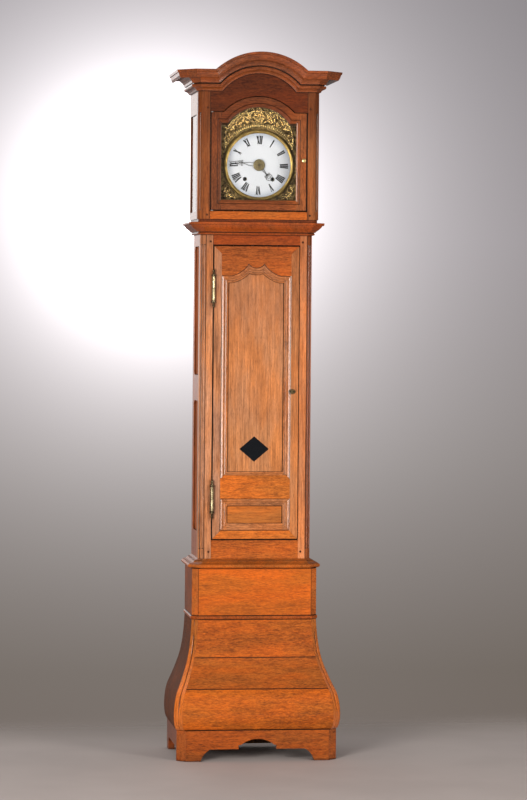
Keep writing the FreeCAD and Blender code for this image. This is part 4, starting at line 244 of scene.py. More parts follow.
def oak(name, middle, along, seed, edge=0.1, contrast=0.55, shine=0.5, gloss=0.42,
        low=None, lines=(), reach=0.0024, tints=(), recess=None):
    """Oak of a middle colour; low gives another one below a level, recess is where sunk panels
    start, which are dull."""
    sh = material(name)
    x, y, z = sh.position()
    space = grain_space(sh, along, seed, edge)
    broad = sh.noise(stretched(sh, space, 8.0, 1.6), 1.0, 3.0, 0.55)
    clouds = sh.noise(stretched(sh, space, 52.0, 22.0), 1.0, 3.0, 0.6)
    upright = along in ("z", "split")
    bands = sh.noise(stretched(sh, space, 120.0, 4.0 if upright else 11.0), 1.0, 3.0, 0.6, 0.3)
    fine = sh.noise(stretched(sh, space, 300.0, 13.0 if upright else 52.0), 1.0, 4.0, 0.65)
    flecks = sh.noise(stretched(sh, space, 380.0, 110.0), 1.0, 2.0, 0.5)
    pores = sh.noise(stretched(sh, space, 760.0, 60.0), 1.0, 2.0, 0.5)
    pore_mask = sh.span(pores, 0.55, 0.70)
    tone = sh.centred(broad, 0.9)
    for layer, weight in ((clouds, 0.45), (bands, 0.75), (fine, 1.35),
                          (flecks, 0.3 if upright else 0.8)):
        tone = sh.math("ADD", tone, sh.centred(layer, weight))
    tone = sh.span(tone, -0.36, 0.36, smooth=False)
    shade = grain_colour(sh, tone, middle, contrast)
    if low is not None:
        level, low_middle = low
        below = sh.math("LESS_THAN", z, level)
        shade = sh.mix(below, shade, grain_colour(sh, tone, low_middle, contrast))
    warm = sh.span(sh.noise(stretched(sh, space, 16.0, 4.0), 1.0, 3.0, 0.6), 0.36, 0.64)
    shade = sh.mix(1.0, shade, sh.mix(warm, (0.94, 1.03, 1.20), (1.06, 0.97, 0.80)), "MULTIPLY")
    for tint in tints:
        shade = tinted(sh, shade, *tint)
    shade = darkened(sh, shade, sh.scaled(pore_mask, 0.5), 0.22)
    stains = sh.span(sh.noise(space, 6.0, 4.0, 0.6), 0.54, 0.76)
    shade = darkened(sh, shade, sh.scaled(stains, 0.28), 0.45)
    # Painted shade: darker in corners, creases and narrow gaps (ambient occlusion).
    corner = sh.span(sh.hollows(0.016), 0.12, 0.62)
    crease_shade = sh.span(sh.hollows(0.0045), 0.10, 0.40)
    painted_shade = sh.math("MAXIMUM", sh.scaled(corner, 0.66), sh.scaled(crease_shade, 0.92))
    shade = darkened(sh, shade, painted_shade, 0.04)
    if lines:
        shade = darkened(sh, shade, sh.scaled(joint_and_shade_lines(sh, lines, reach), 0.9), 0.06)
    rough = sh.math("ADD", gloss, sh.centred(fine, 0.25))
    rough = sh.math("ADD", rough, sh.scaled(pore_mask, 0.2), clamp=True)
    coat = shine
    if recess is not None:
        sunk = sh.math("LESS_THAN", sh.math("ABSOLUTE", x), recess)
        coat = sh.math("MULTIPLY", shine, sh.math("SUBTRACT", 1.0, sunk))
        rough = sh.math("MAXIMUM", rough, sh.scaled(sunk, 0.8))
    relief = sh.math("SUBTRACT", sh.scaled(fine, 0.35), sh.scaled(pore_mask, 0.8))
    normal = sh.bump(relief, 0.25, 0.0005, sh.soft_edges(0.0014))
    return sh.surface(sh.principled(base_color=shade, roughness=rough, normal=normal,
                                    specular_ior_level=0.16, coat_weight=coat,
                                    coat_roughness=0.17))


def grain_colour(sh, tone, middle, contrast):
    """Darker to lighter about a middle colour, the dark side a little redder."""
    red, green, blue = middle
    light = tuple(channel * (1 + contrast) for channel in middle)
    dark = (red * (1 - 0.9 * contrast), green * (1 - contrast), blue * (1 - 1.08 * contrast))
    return sh.mix(tone, dark, light)


def darkened(sh, shade, amount, least):
    """The same colour, down to a least share of itself."""
    factor = sh.math("SUBTRACT", 1.0, sh.scaled(amount, 1.0 - least))
    return sh.mix(1.0, shade, sh.vector(factor, factor, factor), "MULTIPLY")


def edge_lines(piece, axes, spare=0.0):
    """Places of the edges of a piece along some axes, moved out by some spare."""
    low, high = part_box(piece)
    return tuple((axis, place) for axis in axes
                 for place in (low[axis] - spare, high[axis] + spare))


DOOR_GAP = 0.0026
LOW_RAILS = 1.2
LOW_PANEL = 0.895
DOOR_LOW, DOOR_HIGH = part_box("door_stiles")
PANEL_HALF = DOOR_HIGH[0] - 0.0525
PANEL_TOP = DOOR_LOW[2] + 0.117
BOX_LOW, BOX_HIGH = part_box("box_front")
BOX_CANT = BOX_LOW[1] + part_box("box_sides")[1][0] - BOX_HIGH[0]
APRON_LOW, APRON_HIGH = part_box("plinth_apron")
PLINTH_CANT = APRON_LOW[1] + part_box("plinth_sides")[1][0] - APRON_HIGH[0]
JOINTS = (0.3485, 0.2465)
HOOD_POST = srgb(136, 76, 36)
CORNICE = srgb(121, 60, 25)
# Middle colour of the trunk posts, paled by a painted sheen.
TRUNK_POST_SHEEN = srgb(182, 121, 82)
BARE_OAK = srgb(96, 66, 42)
RIM_LOW, RIM_HIGH = (corner[2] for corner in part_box("base_top_moulding"))
MOULDING_TOP = (2, 0.6 * RIM_LOW + 0.4 * RIM_HIGH, 0.4 * RIM_LOW + 0.6 * RIM_HIGH,
                (0.72, 0.76, 0.90))
# Painted shadow of the cornice: the hood posts darker towards the top.
POST_TOP_SHADE = (2, 2.08, 2.26, (0.50, 0.42, 0.34))
POST_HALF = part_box("trunk_posts")[1][0]
POST_ARRIS, POST_FLUTE = POST_HALF - 0.019, POST_HALF - 0.0055

woods = {
    "hood_posts": oak("hood_post_oak", HOOD_POST, "z", 0.3, tints=(POST_TOP_SHADE,),
                      lines=edge_lines("hood_door_frame", (0,), DOOR_GAP)),
    "hood_sides": oak("hood_side_oak", HOOD_POST, "z", 0.9, shine=0.8),
    # Hood top rail: dark wood, made darker still by a painted shadow of the cornice.
    "hood_top_rail": oak("hood_rail_oak", srgb(85, 35, 7), "x", 0.5),
    "hood_bottom_rail": oak("hood_sill_oak", srgb(153, 78, 22), "x", 1.5,
                            lines=edge_lines("hood_door_frame", (2,), DOOR_GAP)),
    # Hood door frame: darker towards the top, painted shadow of the cornice; lighter on the right
    # side, painted light.
    "hood_door_frame": oak("hood_door_oak", srgb(112, 59, 28), "ring", 2.1, edge=0.132,
                           lines=edge_lines("hood_door_frame", (0, 2)), shine=0.8,
                           tints=((2, 2.08, 2.24, (0.80, 0.72, 0.62)),
                                  (0, 0.08, 0.13, (1.66, 1.70, 1.51)))),
    "hood_foot_strip": oak("hood_foot_oak", srgb(120, 55, 19), "wrap", 0.2),
    "cornice_front": oak("cornice_oak", CORNICE, "x", 2.7, shine=0.75),
    "cornice_returns": oak("cornice_return_oak", CORNICE, "wrap", 1.1, shine=0.9),
    "waist_moulding": oak("waist_oak", srgb(137, 64, 21), "wrap", 0.7, shine=0.65),
    # Trunk posts: painted sheen in the colour, taken out on the right post; darker towards the top,
    # painted shade; painted shade lines along the arrises and flutes and a darker right canted face,
    # painted shade; the line by the door is a joint.
    "trunk_posts": oak("trunk_post_oak", TRUNK_POST_SHEEN, "z", 0.1, shine=0.35,
                       lines=((0, DOOR_LOW[0] - DOOR_GAP), (0, -POST_ARRIS), (0, -POST_FLUTE),
                              (0, POST_ARRIS), (0, POST_FLUTE)), reach=0.0017,
                       tints=((0, -0.1, 0.1, (1.00, 0.85, 0.69)),
                              (2, 1.45, 1.74, (0.78, 0.70, 0.62)),
                              (0, POST_ARRIS - 0.0005, POST_ARRIS + 0.0005, (0.66, 0.50, 0.36)))),
    "trunk_sides": oak("trunk_side_oak", srgb(155, 80, 36), "z", 1.9, recess=0.1935),
    # Trunk rails: the upper rail a darker copy of the lower, painted shade under the waist moulding.
    "trunk_rails": oak("trunk_rail_oak", srgb(123, 54, 12), "x", 0.4,
                       low=(LOW_RAILS, srgb(165, 82, 22)),
                       lines=edge_lines("door_stiles", (2,), DOOR_GAP)),
    # Door stiles: the colour carries a painted reflection, taken out on the right stile; darker
    # towards the top, painted shade.
    "door_stiles": oak("door_stile_oak", srgb(169, 116, 83), "z", 2.3,
                       lines=((0, DOOR_LOW[0]), (2, DOOR_LOW[2]), (2, DOOR_HIGH[2])),
                       tints=((0, -0.1, 0.1, (0.96, 0.78, 0.51)),
                              (2, 1.45, 1.74, (0.82, 0.74, 0.66)))),
    # Door rails: the upper rail a darker copy of the lower, painted shade.
    "door_rails": oak("door_rail_oak", srgb(154, 76, 24), "x", 3.1,
                      low=(LOW_RAILS, srgb(177, 94, 28)), lines=edge_lines("door_stiles", (2,))),
    # Door mouldings: darker towards the top, painted shade.
    "door_mouldings": oak("door_moulding_oak", srgb(170, 105, 60), "ring", 1.3,
                          edge=PANEL_HALF, shine=0.8, tints=((2, 1.38, 1.58, (0.80, 0.76, 0.74)),)),
    # Door panels: the upper panel's paler colour carries a painted sheen; darker towards the top and
    # lighter lower down, painted shade.
    "door_panels": oak("door_panel_oak", srgb(176, 114, 71), "split", 2.9, edge=LOW_PANEL,
                       contrast=0.45, low=(LOW_PANEL, srgb(165, 92, 35)),
                       lines=((0, -PANEL_HALF), (0, PANEL_HALF))
                       + ((2, PANEL_TOP),), reach=0.0036,
                       tints=((2, 1.38, 1.58, (0.79, 0.77, 0.80)),
                              (2, 1.20, 1.10, (1.07, 1.08, 1.03)))),
    "base_top_moulding": oak("base_moulding_oak", srgb(161, 83, 27), "wrap", 0.6, shine=0.2,
                             tints=(MOULDING_TOP,)),
    "box_front": oak("box_front_oak", srgb(178, 87, 17), "x", 1.2, contrast=0.36, shine=0.3,
                     lines=edge_lines("box_front", (0, 2))),
    # Box sides: the flat sides much darker than the front and cants, painted shade.
    "box_sides": oak("box_side_oak", srgb(172, 90, 34), "wrap", 2.2, shine=0.04, gloss=0.55,
                     lines=((2, BOX_LOW[2]), (2, BOX_HIGH[2])),
                     tints=((1, BOX_CANT - 0.001, BOX_CANT + 0.003, (0.42, 0.40, 0.44)),)),
    "base_bead": oak("bead_oak", srgb(147, 71, 21), "wrap", 3.2, shine=0.3,
                     lines=edge_lines("base_bead", (2,))),
    "bulge_front_boards": oak("bulge_front_oak", srgb(161, 79, 17), "x", 0.8, shine=0.4,
                              lines=tuple((2, level) for level in JOINTS)
                              + edge_lines("bulge_front_boards", (2,)),
                              tints=tuple((2, level + 0.001, level - 0.001, factors)
                                          for level, factors in zip(JOINTS, (
                                              (0.82, 0.88, 1.20), (1.30, 1.26, 0.86))))),
    # Bulge sides: much darker than the bulge front, painted shade.
    "bulge_sides": oak("bulge_side_oak", srgb(88, 44, 15), "wrap", 1.7, shine=0.0, gloss=0.75),
    "bulge_corners": oak("bulge_corner_oak", srgb(184, 99, 33), "z", 2.6, shine=0.9),
    "plinth_apron": oak("apron_oak", srgb(140, 68, 17), "x", 3.6, shine=0.25,
                        lines=((2, APRON_HIGH[2]),)),
    # Plinth sides: the flat sides much darker than the front and cants, painted shade.
    "plinth_sides": oak("plinth_side_oak", srgb(152, 77, 30), "wrap", 2.4, shine=0.15,
                        lines=((2, APRON_HIGH[2]),),
                        tints=((1, PLINTH_CANT - 0.001, PLINTH_CANT + 0.003, (0.48, 0.44, 0.42)),)),
    "back_boards": oak("back_oak", BARE_OAK, "z", 0.5, gloss=0.75, shine=0.0),
    "seat_board": oak("seat_oak", BARE_OAK, "x", 1.5, gloss=0.75, shine=0.0),
    "hood_top_board": oak("lid_oak", BARE_OAK, "x", 2.5, gloss=0.75, shine=0.0),
    "oak_pegs": oak("peg_oak", srgb(66, 32, 13), "z", 0.0, shine=0.1, gloss=0.5),
}


# Metals, enamel, glass and line

def brass(name, bright, dull, rough, patina):
    sh = material(name)
    place = sh.spot()
    tarnish = sh.span(sh.noise(place, 60.0, 5.0, 0.62), 0.40, 0.70)
    shade = sh.mix(sh.scaled(tarnish, patina), bright, dull)
    # Painted shade: darker towards near black in hollows and gaps (ambient occlusion).
    hollow_shade = sh.span(sh.hollows(0.006), 0.15, 0.8)
    shade = sh.mix(sh.scaled(hollow_shade, 0.8), shade, tuple(0.12 * channel for channel in dull))
    roughness = sh.math("ADD", rough, sh.scaled(tarnish, 0.22))
    normal = sh.bump(sh.noise(place, 900.0, 2.0), 0.08, 0.0003, sh.soft_edges(0.0006))
    return sh.surface(sh.principled(base_color=shade, metallic=1.0, roughness=roughness,
                                    normal=normal))


def metal(name, shade, dark, rough, metallic=1.0):
    sh = material(name)
    place = sh.spot()
    cloud = sh.span(sh.noise(place, 80.0, 5.0, 0.6), 0.35, 0.7)
    tone = sh.mix(cloud, shade, dark)
    roughness = sh.math("ADD", rough, sh.scaled(cloud, 0.15))
    normal = sh.bump(sh.noise(place, 700.0, 3.0), 0.12, 0.0003, sh.soft_edges(0.0008))
    return sh.surface(sh.principled(base_color=tone, metallic=metallic, roughness=roughness,
                                    normal=normal))


gold_brass = brass("gold_brass", (0.31, 0.205, 0.065), (0.15, 0.095, 0.03), 0.38, 0.6)
knob_brass = brass("knob_brass", (0.80, 0.60, 0.26), (0.45, 0.31, 0.11), 0.26, 0.25)
key_brass = brass("key_brass", (0.13, 0.095, 0.045), (0.04, 0.028, 0.014), 0.46, 0.8)
dull_brass = brass("dull_brass", (0.26, 0.20, 0.11), (0.10, 0.075, 0.04), 0.42, 0.7)
hand_steel = metal("hand_steel", (0.030, 0.024, 0.020), (0.012, 0.010, 0.009), 0.6, 0.0)
gear_brass = brass("gear_brass", (0.74, 0.52, 0.20), (0.46, 0.31, 0.12), 0.3, 0.35)
black_iron = metal("black_iron", (0.05, 0.05, 0.052), (0.02, 0.018, 0.017), 0.48, 0.6)
grey_steel = metal("grey_steel", (0.42, 0.42, 0.43), (0.24, 0.22, 0.20), 0.32)


def hinge_material():
    """Rubbed bright on the barrels, almost black on the finials above and below them."""
    sh = material("hinge_brass")
    place = sh.spot()
    z = sh.position()[2]
    cloud = sh.span(sh.noise(place, 110.0, 5.0, 0.62), 0.36, 0.70)
    shade = sh.mix(sh.scaled(cloud, 0.75), (0.36, 0.30, 0.18), (0.15, 0.115, 0.06))
    near = sh.math("MINIMUM", *(sh.math("ABSOLUTE", sh.math("SUBTRACT", z, level))
                                for level in HINGE_LEVELS))
    ends = sh.span(near, HINGE_HALF - 0.001, HINGE_HALF + 0.002)
    shade = sh.mix(sh.scaled(ends, 0.85), shade, (0.055, 0.038, 0.020))
    split = sh.span(near, 0.0012, 0.0004)
    shade = sh.mix(sh.scaled(split, 0.8), shade, (0.03, 0.02, 0.01))
    normal = sh.bump(sh.noise(place, 700.0, 2.0), 0.1, 0.0003, sh.soft_edges(0.0006))
    return sh.surface(sh.principled(base_color=shade, metallic=1.0, normal=normal,
                                    roughness=sh.span(cloud, 0.0, 1.0, 0.26, 0.46)))


def disc_material():
    """A worn bronze disc, dark about its middle, with a painted highlight at its turned rim."""
    sh = material("disc_bronze")
    radius = sh.from_dial()
    cloud = sh.span(sh.noise(sh.spot(), 210.0, 4.0, 0.6), 0.34, 0.68)
    shade = sh.mix(cloud, (0.15, 0.115, 0.06), (0.055, 0.040, 0.022))
    # Painted highlight: paler at the rim.
    shade = sh.mix(sh.span(radius, 0.0135, 0.0165), shade, (0.15, 0.12, 0.065))
    shade = sh.mix(sh.span(radius, 0.0060, 0.0040), shade, (0.035, 0.026, 0.015))
    rings = sh.math("SINE", sh.scaled(radius, 5200.0))
    return sh.surface(sh.principled(base_color=shade, metallic=1.0, roughness=0.52,
                                    normal=sh.bump(rings, 0.3, 0.0003)))


def barrel_material():
    """Brass inside the movement, blackened steel on the winding squares at the dial."""
    sh = material("barrel_brass")
    cloud = sh.span(sh.noise(sh.spot(), 60.0, 5.0, 0.62), 0.40, 0.70)
    shade = sh.mix(cloud, (0.70, 0.49, 0.19), (0.46, 0.31, 0.12))
    shade = sh.mix(sh.span(sh.position()[1], 0.030, 0.020), shade, (0.018, 0.016, 0.015))
    return sh.surface(sh.principled(base_color=shade, metallic=1.0, roughness=0.34))


HINGE_HALF, FINIAL = 0.040, 0.030
HINGE_LEVELS = (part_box("hinge_pins")[0][2] + HINGE_HALF + FINIAL,
                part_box("hinge_barrels")[1][2] - HINGE_HALF - FINIAL)
hinge_brass = hinge_material()
disc_bronze = disc_material()
barrel_brass = barrel_material()


def enamel_material():
    sh = material("white_enamel")
    place = sh.spot()
    cloud = sh.span(sh.noise(place, 14.0, 3.0), 0.3, 0.7)
    shade = sh.mix(cloud, (0.765, 0.765, 0.85), (0.805, 0.80, 0.885))
    # Painted shade: darker blue-grey towards the rim of the dome.
    shade = sh.mix(sh.span(sh.from_dial(), 0.086, 0.113), shade, (0.56, 0.575, 0.68))
    specks = sh.span(sh.noise(place, 620.0, 1.0), 0.74, 0.80)
    shade = sh.mix(sh.scaled(specks, 0.25), shade, (0.35, 0.34, 0.36))
    normal = sh.bump(sh.noise(place, 120.0, 2.0), 0.03, 0.0004)
    return sh.surface(sh.principled(base_color=shade, roughness=0.22, normal=normal,
                                    coat_weight=0.5, coat_roughness=0.08))


def ink_material():
    sh = material("black_ink")
    cloud = sh.noise(sh.spot(), 400.0, 3.0)
    shade = sh.mix(sh.span(cloud, 0.35, 0.75), (0.005, 0.005, 0.007), (0.030, 0.028, 0.032))
    return sh.surface(sh.principled(base_color=shade, roughness=0.5, specular_ior_level=0.2))


def window_glass_material():
    """Clear glass that lets lamp light through, so that what stands behind it is lit."""
    sh = material("window_glass")
    ripple = sh.noise(sh.spot(), 9.0, 2.0)
    pane = sh.principled(base_color=(0.97, 0.99, 0.98), roughness=0.0, transmission_weight=1.0,
                         ior=1.45, normal=sh.bump(ripple, 0.02, 0.001))
    path = sh.node("ShaderNodeLightPath").outputs
    clear = sh.node("ShaderNodeBsdfTransparent", {"Color": colour((0.93, 0.95, 0.94))}).outputs[0]
    through = sh.math("MAXIMUM", path["Is Shadow Ray"], path["Is Diffuse Ray"])
    blend = sh.node("ShaderNodeMixShader", {0: through, 1: pane, 2: clear})
    return sh.surface(blend.outputs[0])


# Near-black glass for the door lozenge, standing for the unlit case behind it: painted shade.
def glass_with_painted_shade_material():
    sh = material("black_glass")
    place = sh.spot()
    dust = sh.span(sh.noise(place, 300.0, 4.0), 0.55, 0.8)
    shade = sh.mix(sh.scaled(dust, 0.18), (0.006, 0.007, 0.009), (0.05, 0.05, 0.055))
    return sh.surface(sh.principled(base_color=shade, roughness=0.12,
                                    normal=sh.bump(sh.noise(place, 30.0), 0.05, 0.0005)))


def line_material():
    sh = material("twisted_line")
    x, y, z = sh.position()
    twist = sh.math("SINE", sh.math("ADD", sh.scaled(z, 2600.0), sh.scaled(x, 900.0)))
    shade = sh.mix(sh.span(twist, -1.0, 1.0), (0.24, 0.17, 0.09), (0.50, 0.40, 0.24))
    return sh.surface(sh.principled(base_color=shade, roughness=0.8,
                                    normal=sh.bump(twist, 0.5, 0.0004)))


enamel = enamel_material()
ink = ink_material()
window_glass = window_glass_material()
black_glass = glass_with_painted_shade_material()
cord_fibre = line_material()

finishes = dict(woods)
for finish, pieces in (
        (enamel, ("dial_enamel",)), (gold_brass, ("dial_bezel", "pendulum_bob")),
        (dull_brass, ("frieze_plate",)), (disc_bronze, ("centre_disc",)),
        (window_glass, ("hood_side_glasses", "hood_door_glass")),
        (black_glass, ("door_lozenge_glass",)), (hinge_brass, ("hinge_pins", "hinge_barrels")),
        (key_brass, ("door_key",)), (knob_brass, ("hood_door_knob",)),
        (grey_steel, ("hood_hinge_pins", "anchor", "pendulum_rod", "hammer")),
        (black_iron, ("movement_cage", "going_weight", "striking_weight")),
        (gear_brass, ("bell", "centre_wheel", "going_great_wheel", "third_wheel",
                      "escape_wheel", "fly")),
        (hand_steel, ("minute_hand", "hour_hand")),
        (barrel_brass, ("going_barrel", "striking_barrel")),
        (cord_fibre, ("going_line", "striking_line"))):
    finishes.update((piece, finish) for piece in pieces)
for name, finish in finishes.items():
    mesh = nodes[name].data
    mesh.materials.clear()
    mesh.materials.append(finish)


# Mesh pieces added to the frame

def add_piece(name, points, faces, finish, body, smooth=False):
    mesh = bpy.data.meshes.new(name)
    mesh.from_pydata([tuple(point) for point in points], [], faces)
    mesh.update()
    piece = bpy.data.objects.new(name, mesh)
    bpy.context.scene.collection.objects.link(piece)
    mesh.materials.append(finish)
    if smooth:
        for face in mesh.polygons:
            face.use_smooth = True
    if body is not None:
        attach(piece, body)
    return piece


class Sheet:
    """Flat shapes gathered into one mesh with a front, a back and sides."""

    def __init__(self):
        self.points = []
        self.faces = []

    def patch(self, outline, front, thickness):
        """One closed outline of dial coordinates; front gives Y from the radius."""
        start = len(self.points)
        count = len(outline)
        for depth in (0.0, thickness):
            for x, z in outline:
                y = front(math.hypot(x, z)) + depth
                self.points.append((DIAL_X + x, y, DIAL_Z + z))
        self.faces.append([start + index for index in range(count)])
        self.faces.append([start + 2 * count - 1 - index for index in range(count)])
        for index in range(count):
            after = (index + 1) % count
            self.faces.append([start + after, start + index, start + count + index,
                               start + count + after])

    def strip(self, rows, front, thickness):
        """A band between two edges, as cross rows of (left, right) points."""
        for (left, right), (next_left, next_right) in zip(rows, rows[1:]):
            self.patch([left, right, next_right, next_left], front, thickness)


DOME_SHARES = ((0.0, 0.8, 0.96, 1.0), (1.0, 1.0, 0.8, 0.5))


def enamel_front(radius):
    """Y of the domed enamel at a radius."""
    return PLATE_Y - ENAMEL_BOARD * float(np.interp(radius / ENAMEL_RADIUS, *DOME_SHARES))


def painted(lift):
    """A front that lies that little in front of the enamel."""
    return lambda radius: enamel_front(radius) - lift


# Roman numerals, minute dots and the fine inner circle of the dial

NUMERALS = ("XII", "I", "II", "III", "IIII", "V", "VI", "VII", "VIII", "IX", "X", "XI")
LETTER_WIDTHS = {"I": 0.0054, "V": 0.0092, "X": 0.0096}
OUTER, INNER = 0.1030, 0.0745
THICK, THIN = 0.0045, 0.0021
V_LEFT, V_RIGHT, V_FOOT, X_SPREAD = -0.0032, 0.0034, 0.0006, 0.0030
SERIF_SPARE, SERIF_WIDTH, SERIF_HALF = 0.0016, 0.0040, 0.0004
STROKE_STEPS = 6
MINUTE_RADIUS, HOUR_MARK, MINUTE_MARK = 0.1066, 0.0011, 0.0006
CIRCLE_RADII, CIRCLE_WIDTH, CIRCLE_STEPS = (0.0712, 0.1052), 0.0003, 144
INK_LIFT, SERIF_LIFT, CIRCLE_LIFT = 0.00012, 0.00014, 0.0001
INK_BOARD, CIRCLE_BOARD = 0.0001, 0.00008
DIAL_TURN = math.radians(1.3)


def on_dial(across, radius, angle):
    turn = DIAL_TURN + angle + across / (0.5 * (OUTER + INNER))
    return (radius * math.sin(turn), radius * math.cos(turn))


def stroke(sheet, angle, top, foot, width):
    """One straight stroke of a letter from the outer to the inner rim."""
    rows = []
    for step in range(STROKE_STEPS + 1):
        share = step / STROKE_STEPS
        middle = top + (foot - top) * share
        radius = OUTER + (INNER - OUTER) * share
        rows.append((on_dial(middle - width / 2, radius, angle),
                     on_dial(middle + width / 2, radius, angle)))
    sheet.strip(rows, painted(INK_LIFT), INK_BOARD)


def serif(sheet, angle, middle, width, radius):
    rows = [(on_dial(middle - width / 2, radius + spread, angle),
             on_dial(middle + width / 2, radius + spread, angle))
            for spread in (-SERIF_HALF, SERIF_HALF)]
    sheet.strip(rows, painted(SERIF_LIFT), INK_BOARD)


numerals = Sheet()
for hour, text in enumerate(NUMERALS):
    angle = hour * math.pi / 6
    width = sum(LETTER_WIDTHS[letter] for letter in text)
    cursor = -width / 2
    for letter in text:
        wide = LETTER_WIDTHS[letter]
        middle = cursor + wide / 2
        if letter == "I":
            stroke(numerals, angle, middle, middle, THICK)
            for radius in (OUTER, INNER):
                serif(numerals, angle, middle, THICK + SERIF_SPARE, radius)
        elif letter == "V":
            stroke(numerals, angle, middle + V_LEFT, middle, THICK)
            stroke(numerals, angle, middle + V_RIGHT, middle + V_FOOT, THIN)
            for spread in (V_LEFT, V_RIGHT):
                serif(numerals, angle, middle + spread, SERIF_WIDTH, OUTER)
        else:
            stroke(numerals, angle, middle - X_SPREAD, middle + X_SPREAD, THICK)
            stroke(numerals, angle, middle + X_SPREAD, middle - X_SPREAD, THIN)
            for radius in (OUTER, INNER):
                for spread in (-X_SPREAD, X_SPREAD):
                    serif(numerals, angle, middle + spread, SERIF_WIDTH, radius)
        cursor += wide


def dot(sheet, x, z, radius, sides):
    outline = [(x + radius * math.cos(2 * math.pi * side / sides),
                z + radius * math.sin(2 * math.pi * side / sides)) for side in range(sides)]
    sheet.patch(outline[::-1], painted(INK_LIFT), INK_BOARD)


for minute in range(60):
    turn = DIAL_TURN + minute * math.pi / 30
    size, sides = (HOUR_MARK, 4) if minute % 5 == 0 else (MINUTE_MARK, 10)
    dot(numerals, MINUTE_RADIUS * math.sin(turn), MINUTE_RADIUS * math.cos(turn), size, sides)
add_piece("dial_numerals", numerals.points, numerals.faces, ink, "case")



def ring(sheet, hole, rim, steps, front, thickness):
    """A flat ring of short patches."""
    for step in range(steps):
        first, last = (2 * math.pi * spot / steps for spot in (step, step + 1))
        sheet.patch([(radius * math.sin(turn), radius * math.cos(turn)) for radius, turn in (
            (hole, first), (rim, first), (rim, last), (hole, last))], front, thickness)


circle = Sheet()
for radius in CIRCLE_RADII:
    ring(circle, radius, radius + CIRCLE_WIDTH, CIRCLE_STEPS, painted(CIRCLE_LIFT), CIRCLE_BOARD)


def faint_ink_material():
    sh = material("faint_ink")
    cloud = sh.noise(sh.spot(), 240.0, 3.0)
    shade = sh.mix(sh.span(cloud, 0.3, 0.7), (0.30, 0.31, 0.36), (0.62, 0.63, 0.68))
    return sh.surface(sh.principled(base_color=shade, roughness=0.3))


add_piece("dial_circles", circle.points, circle.faces, faint_ink_material(), "case")


# Openwork hands, drawn pointing up and turned to their places

def curve_points(control, steps=10):
    """A smooth line through given points (Catmull-Rom)."""
    padded = [control[0], *control, control[-1]]
    made = []
    for index in range(1, len(padded) - 2):
        before, first, last, after = (np.array(padded[index + spot], float)
                                      for spot in (-1, 0, 1, 2))
        for step in range(steps):
            t = step / steps
            made.append(0.5 * (2 * first + (last - before) * t
                               + (2 * before - 5 * first + 4 * last - after) * t * t
                               + (3 * first - before - 3 * last + after) * t ** 3))
    made.append(np.array(padded[-2], float))
    return made


def ribbon(sheet, control, wide, front, thickness):
    """A flat band of metal along a line; wide is its width at the start and the end."""
    line = curve_points(control)
    rows = []
    for index, point in enumerate(line):
        ahead = line[min(index + 1, len(line) - 1)] - line[max(index - 1, 0)]
        ahead /= np.linalg.norm(ahead)
        side = np.array((ahead[1], -ahead[0]))
        share = index / (len(line) - 1)
        half = 0.5 * (wide[0] + (wide[1] - wide[0]) * share)
        rows.append((tuple(point - side * half), tuple(point + side * half)))
    sheet.strip(rows, lambda radius: front, thickness)


def turned_sheet(sheet, degrees):
    """Turns a hand clockwise, as seen from the front."""
    turn = math.radians(degrees)
    cosine, sine = math.cos(turn), math.sin(turn)
    made = []
    for x, y, z in sheet.points:
        across, up = x - DIAL_X, z - DIAL_Z
        made.append((DIAL_X + across * cosine + up * sine, y,
                     DIAL_Z - across * sine + up * cosine))
    return made


HUB_RADIUS, HUB_BORE, HAND_BOARD, TURN_SIDES = 0.0104, 0.0032, 0.0013, 24


def hand_sheet(lines, front):
    """Lines off the middle are drawn on both sides of it."""
    sheet = Sheet()
    for control, wide in lines:
        flat = [(x * MM, z * MM) for x, z in control]
        wide = [width * MM for width in wide]
        ribbon(sheet, flat, wide, front, HAND_BOARD)
        if any(x for x, z in control):
            ribbon(sheet, [(-x, z) for x, z in flat], wide, front, HAND_BOARD)
    ring(sheet, HUB_BORE, HUB_RADIUS, TURN_SIDES, lambda radius: front, HAND_BOARD)
    return sheet


MINUTE_LINES = [
    ([(4.5, 8), (5.0, 20), (5.6, 32), (3.6, 44), (0.9, 53)], (1.5, 1.3)),
    ([(0, 50), (0, 55), (0, 60)], (2.2, 3.4)),
    ([(0.6, 60), (5.0, 61), (9.0, 58.5), (9.4, 62.5), (6.4, 63.6)], (1.5, 0.9)),
    ([(0.8, 62), (5.4, 66), (6.2, 72), (3.2, 74.5), (1.6, 71.5)], (1.4, 0.9)),
    ([(0.5, 66), (3.6, 77), (0.4, 86)], (1.2, 1.1)),
    ([(0, 60), (0, 72)], (1.2, 1.0)),
    ([(0, 84), (0, 96), (0, 108)], (1.9, 0.7)),
]
HOUR_LINES = [
    ([(3.4, 8), (3.2, 20), (1.9, 31), (0.8, 38)], (1.7, 1.4)),
    ([(0, 36), (0, 42)], (2.4, 3.0)),
    ([(0.6, 41), (4.4, 44.5), (9.6, 43), (10.4, 47), (7.0, 47.6)], (1.7, 1.0)),
    ([(0.6, 42.5), (7.6, 48.5), (11.4, 55.5), (8.4, 63), (0.5, 68.5)], (1.6, 1.3)),
    ([(0.6, 44), (4.6, 52), (5.4, 57.5), (2.6, 59.5), (1.4, 56.5)], (1.2, 0.8)),
    ([(0, 43), (0, 52)], (1.2, 0.9)),
    ([(0, 66.5), (0, 71), (0, 76)], (2.8, 0.7)),
]
MINUTE_HAND_TURN, HOUR_HAND_TURN = 277.0, 139.5
MINUTE_HAND_Y, HOUR_HAND_Y = -0.014, -0.011
PIPE_RADIUS, PIPE_BORE, PIPE_FRONT, PIPE_BACK = 0.005, 0.00305, -0.0109, 0.0125
minute_sheet = hand_sheet(MINUTE_LINES, MINUTE_HAND_Y)
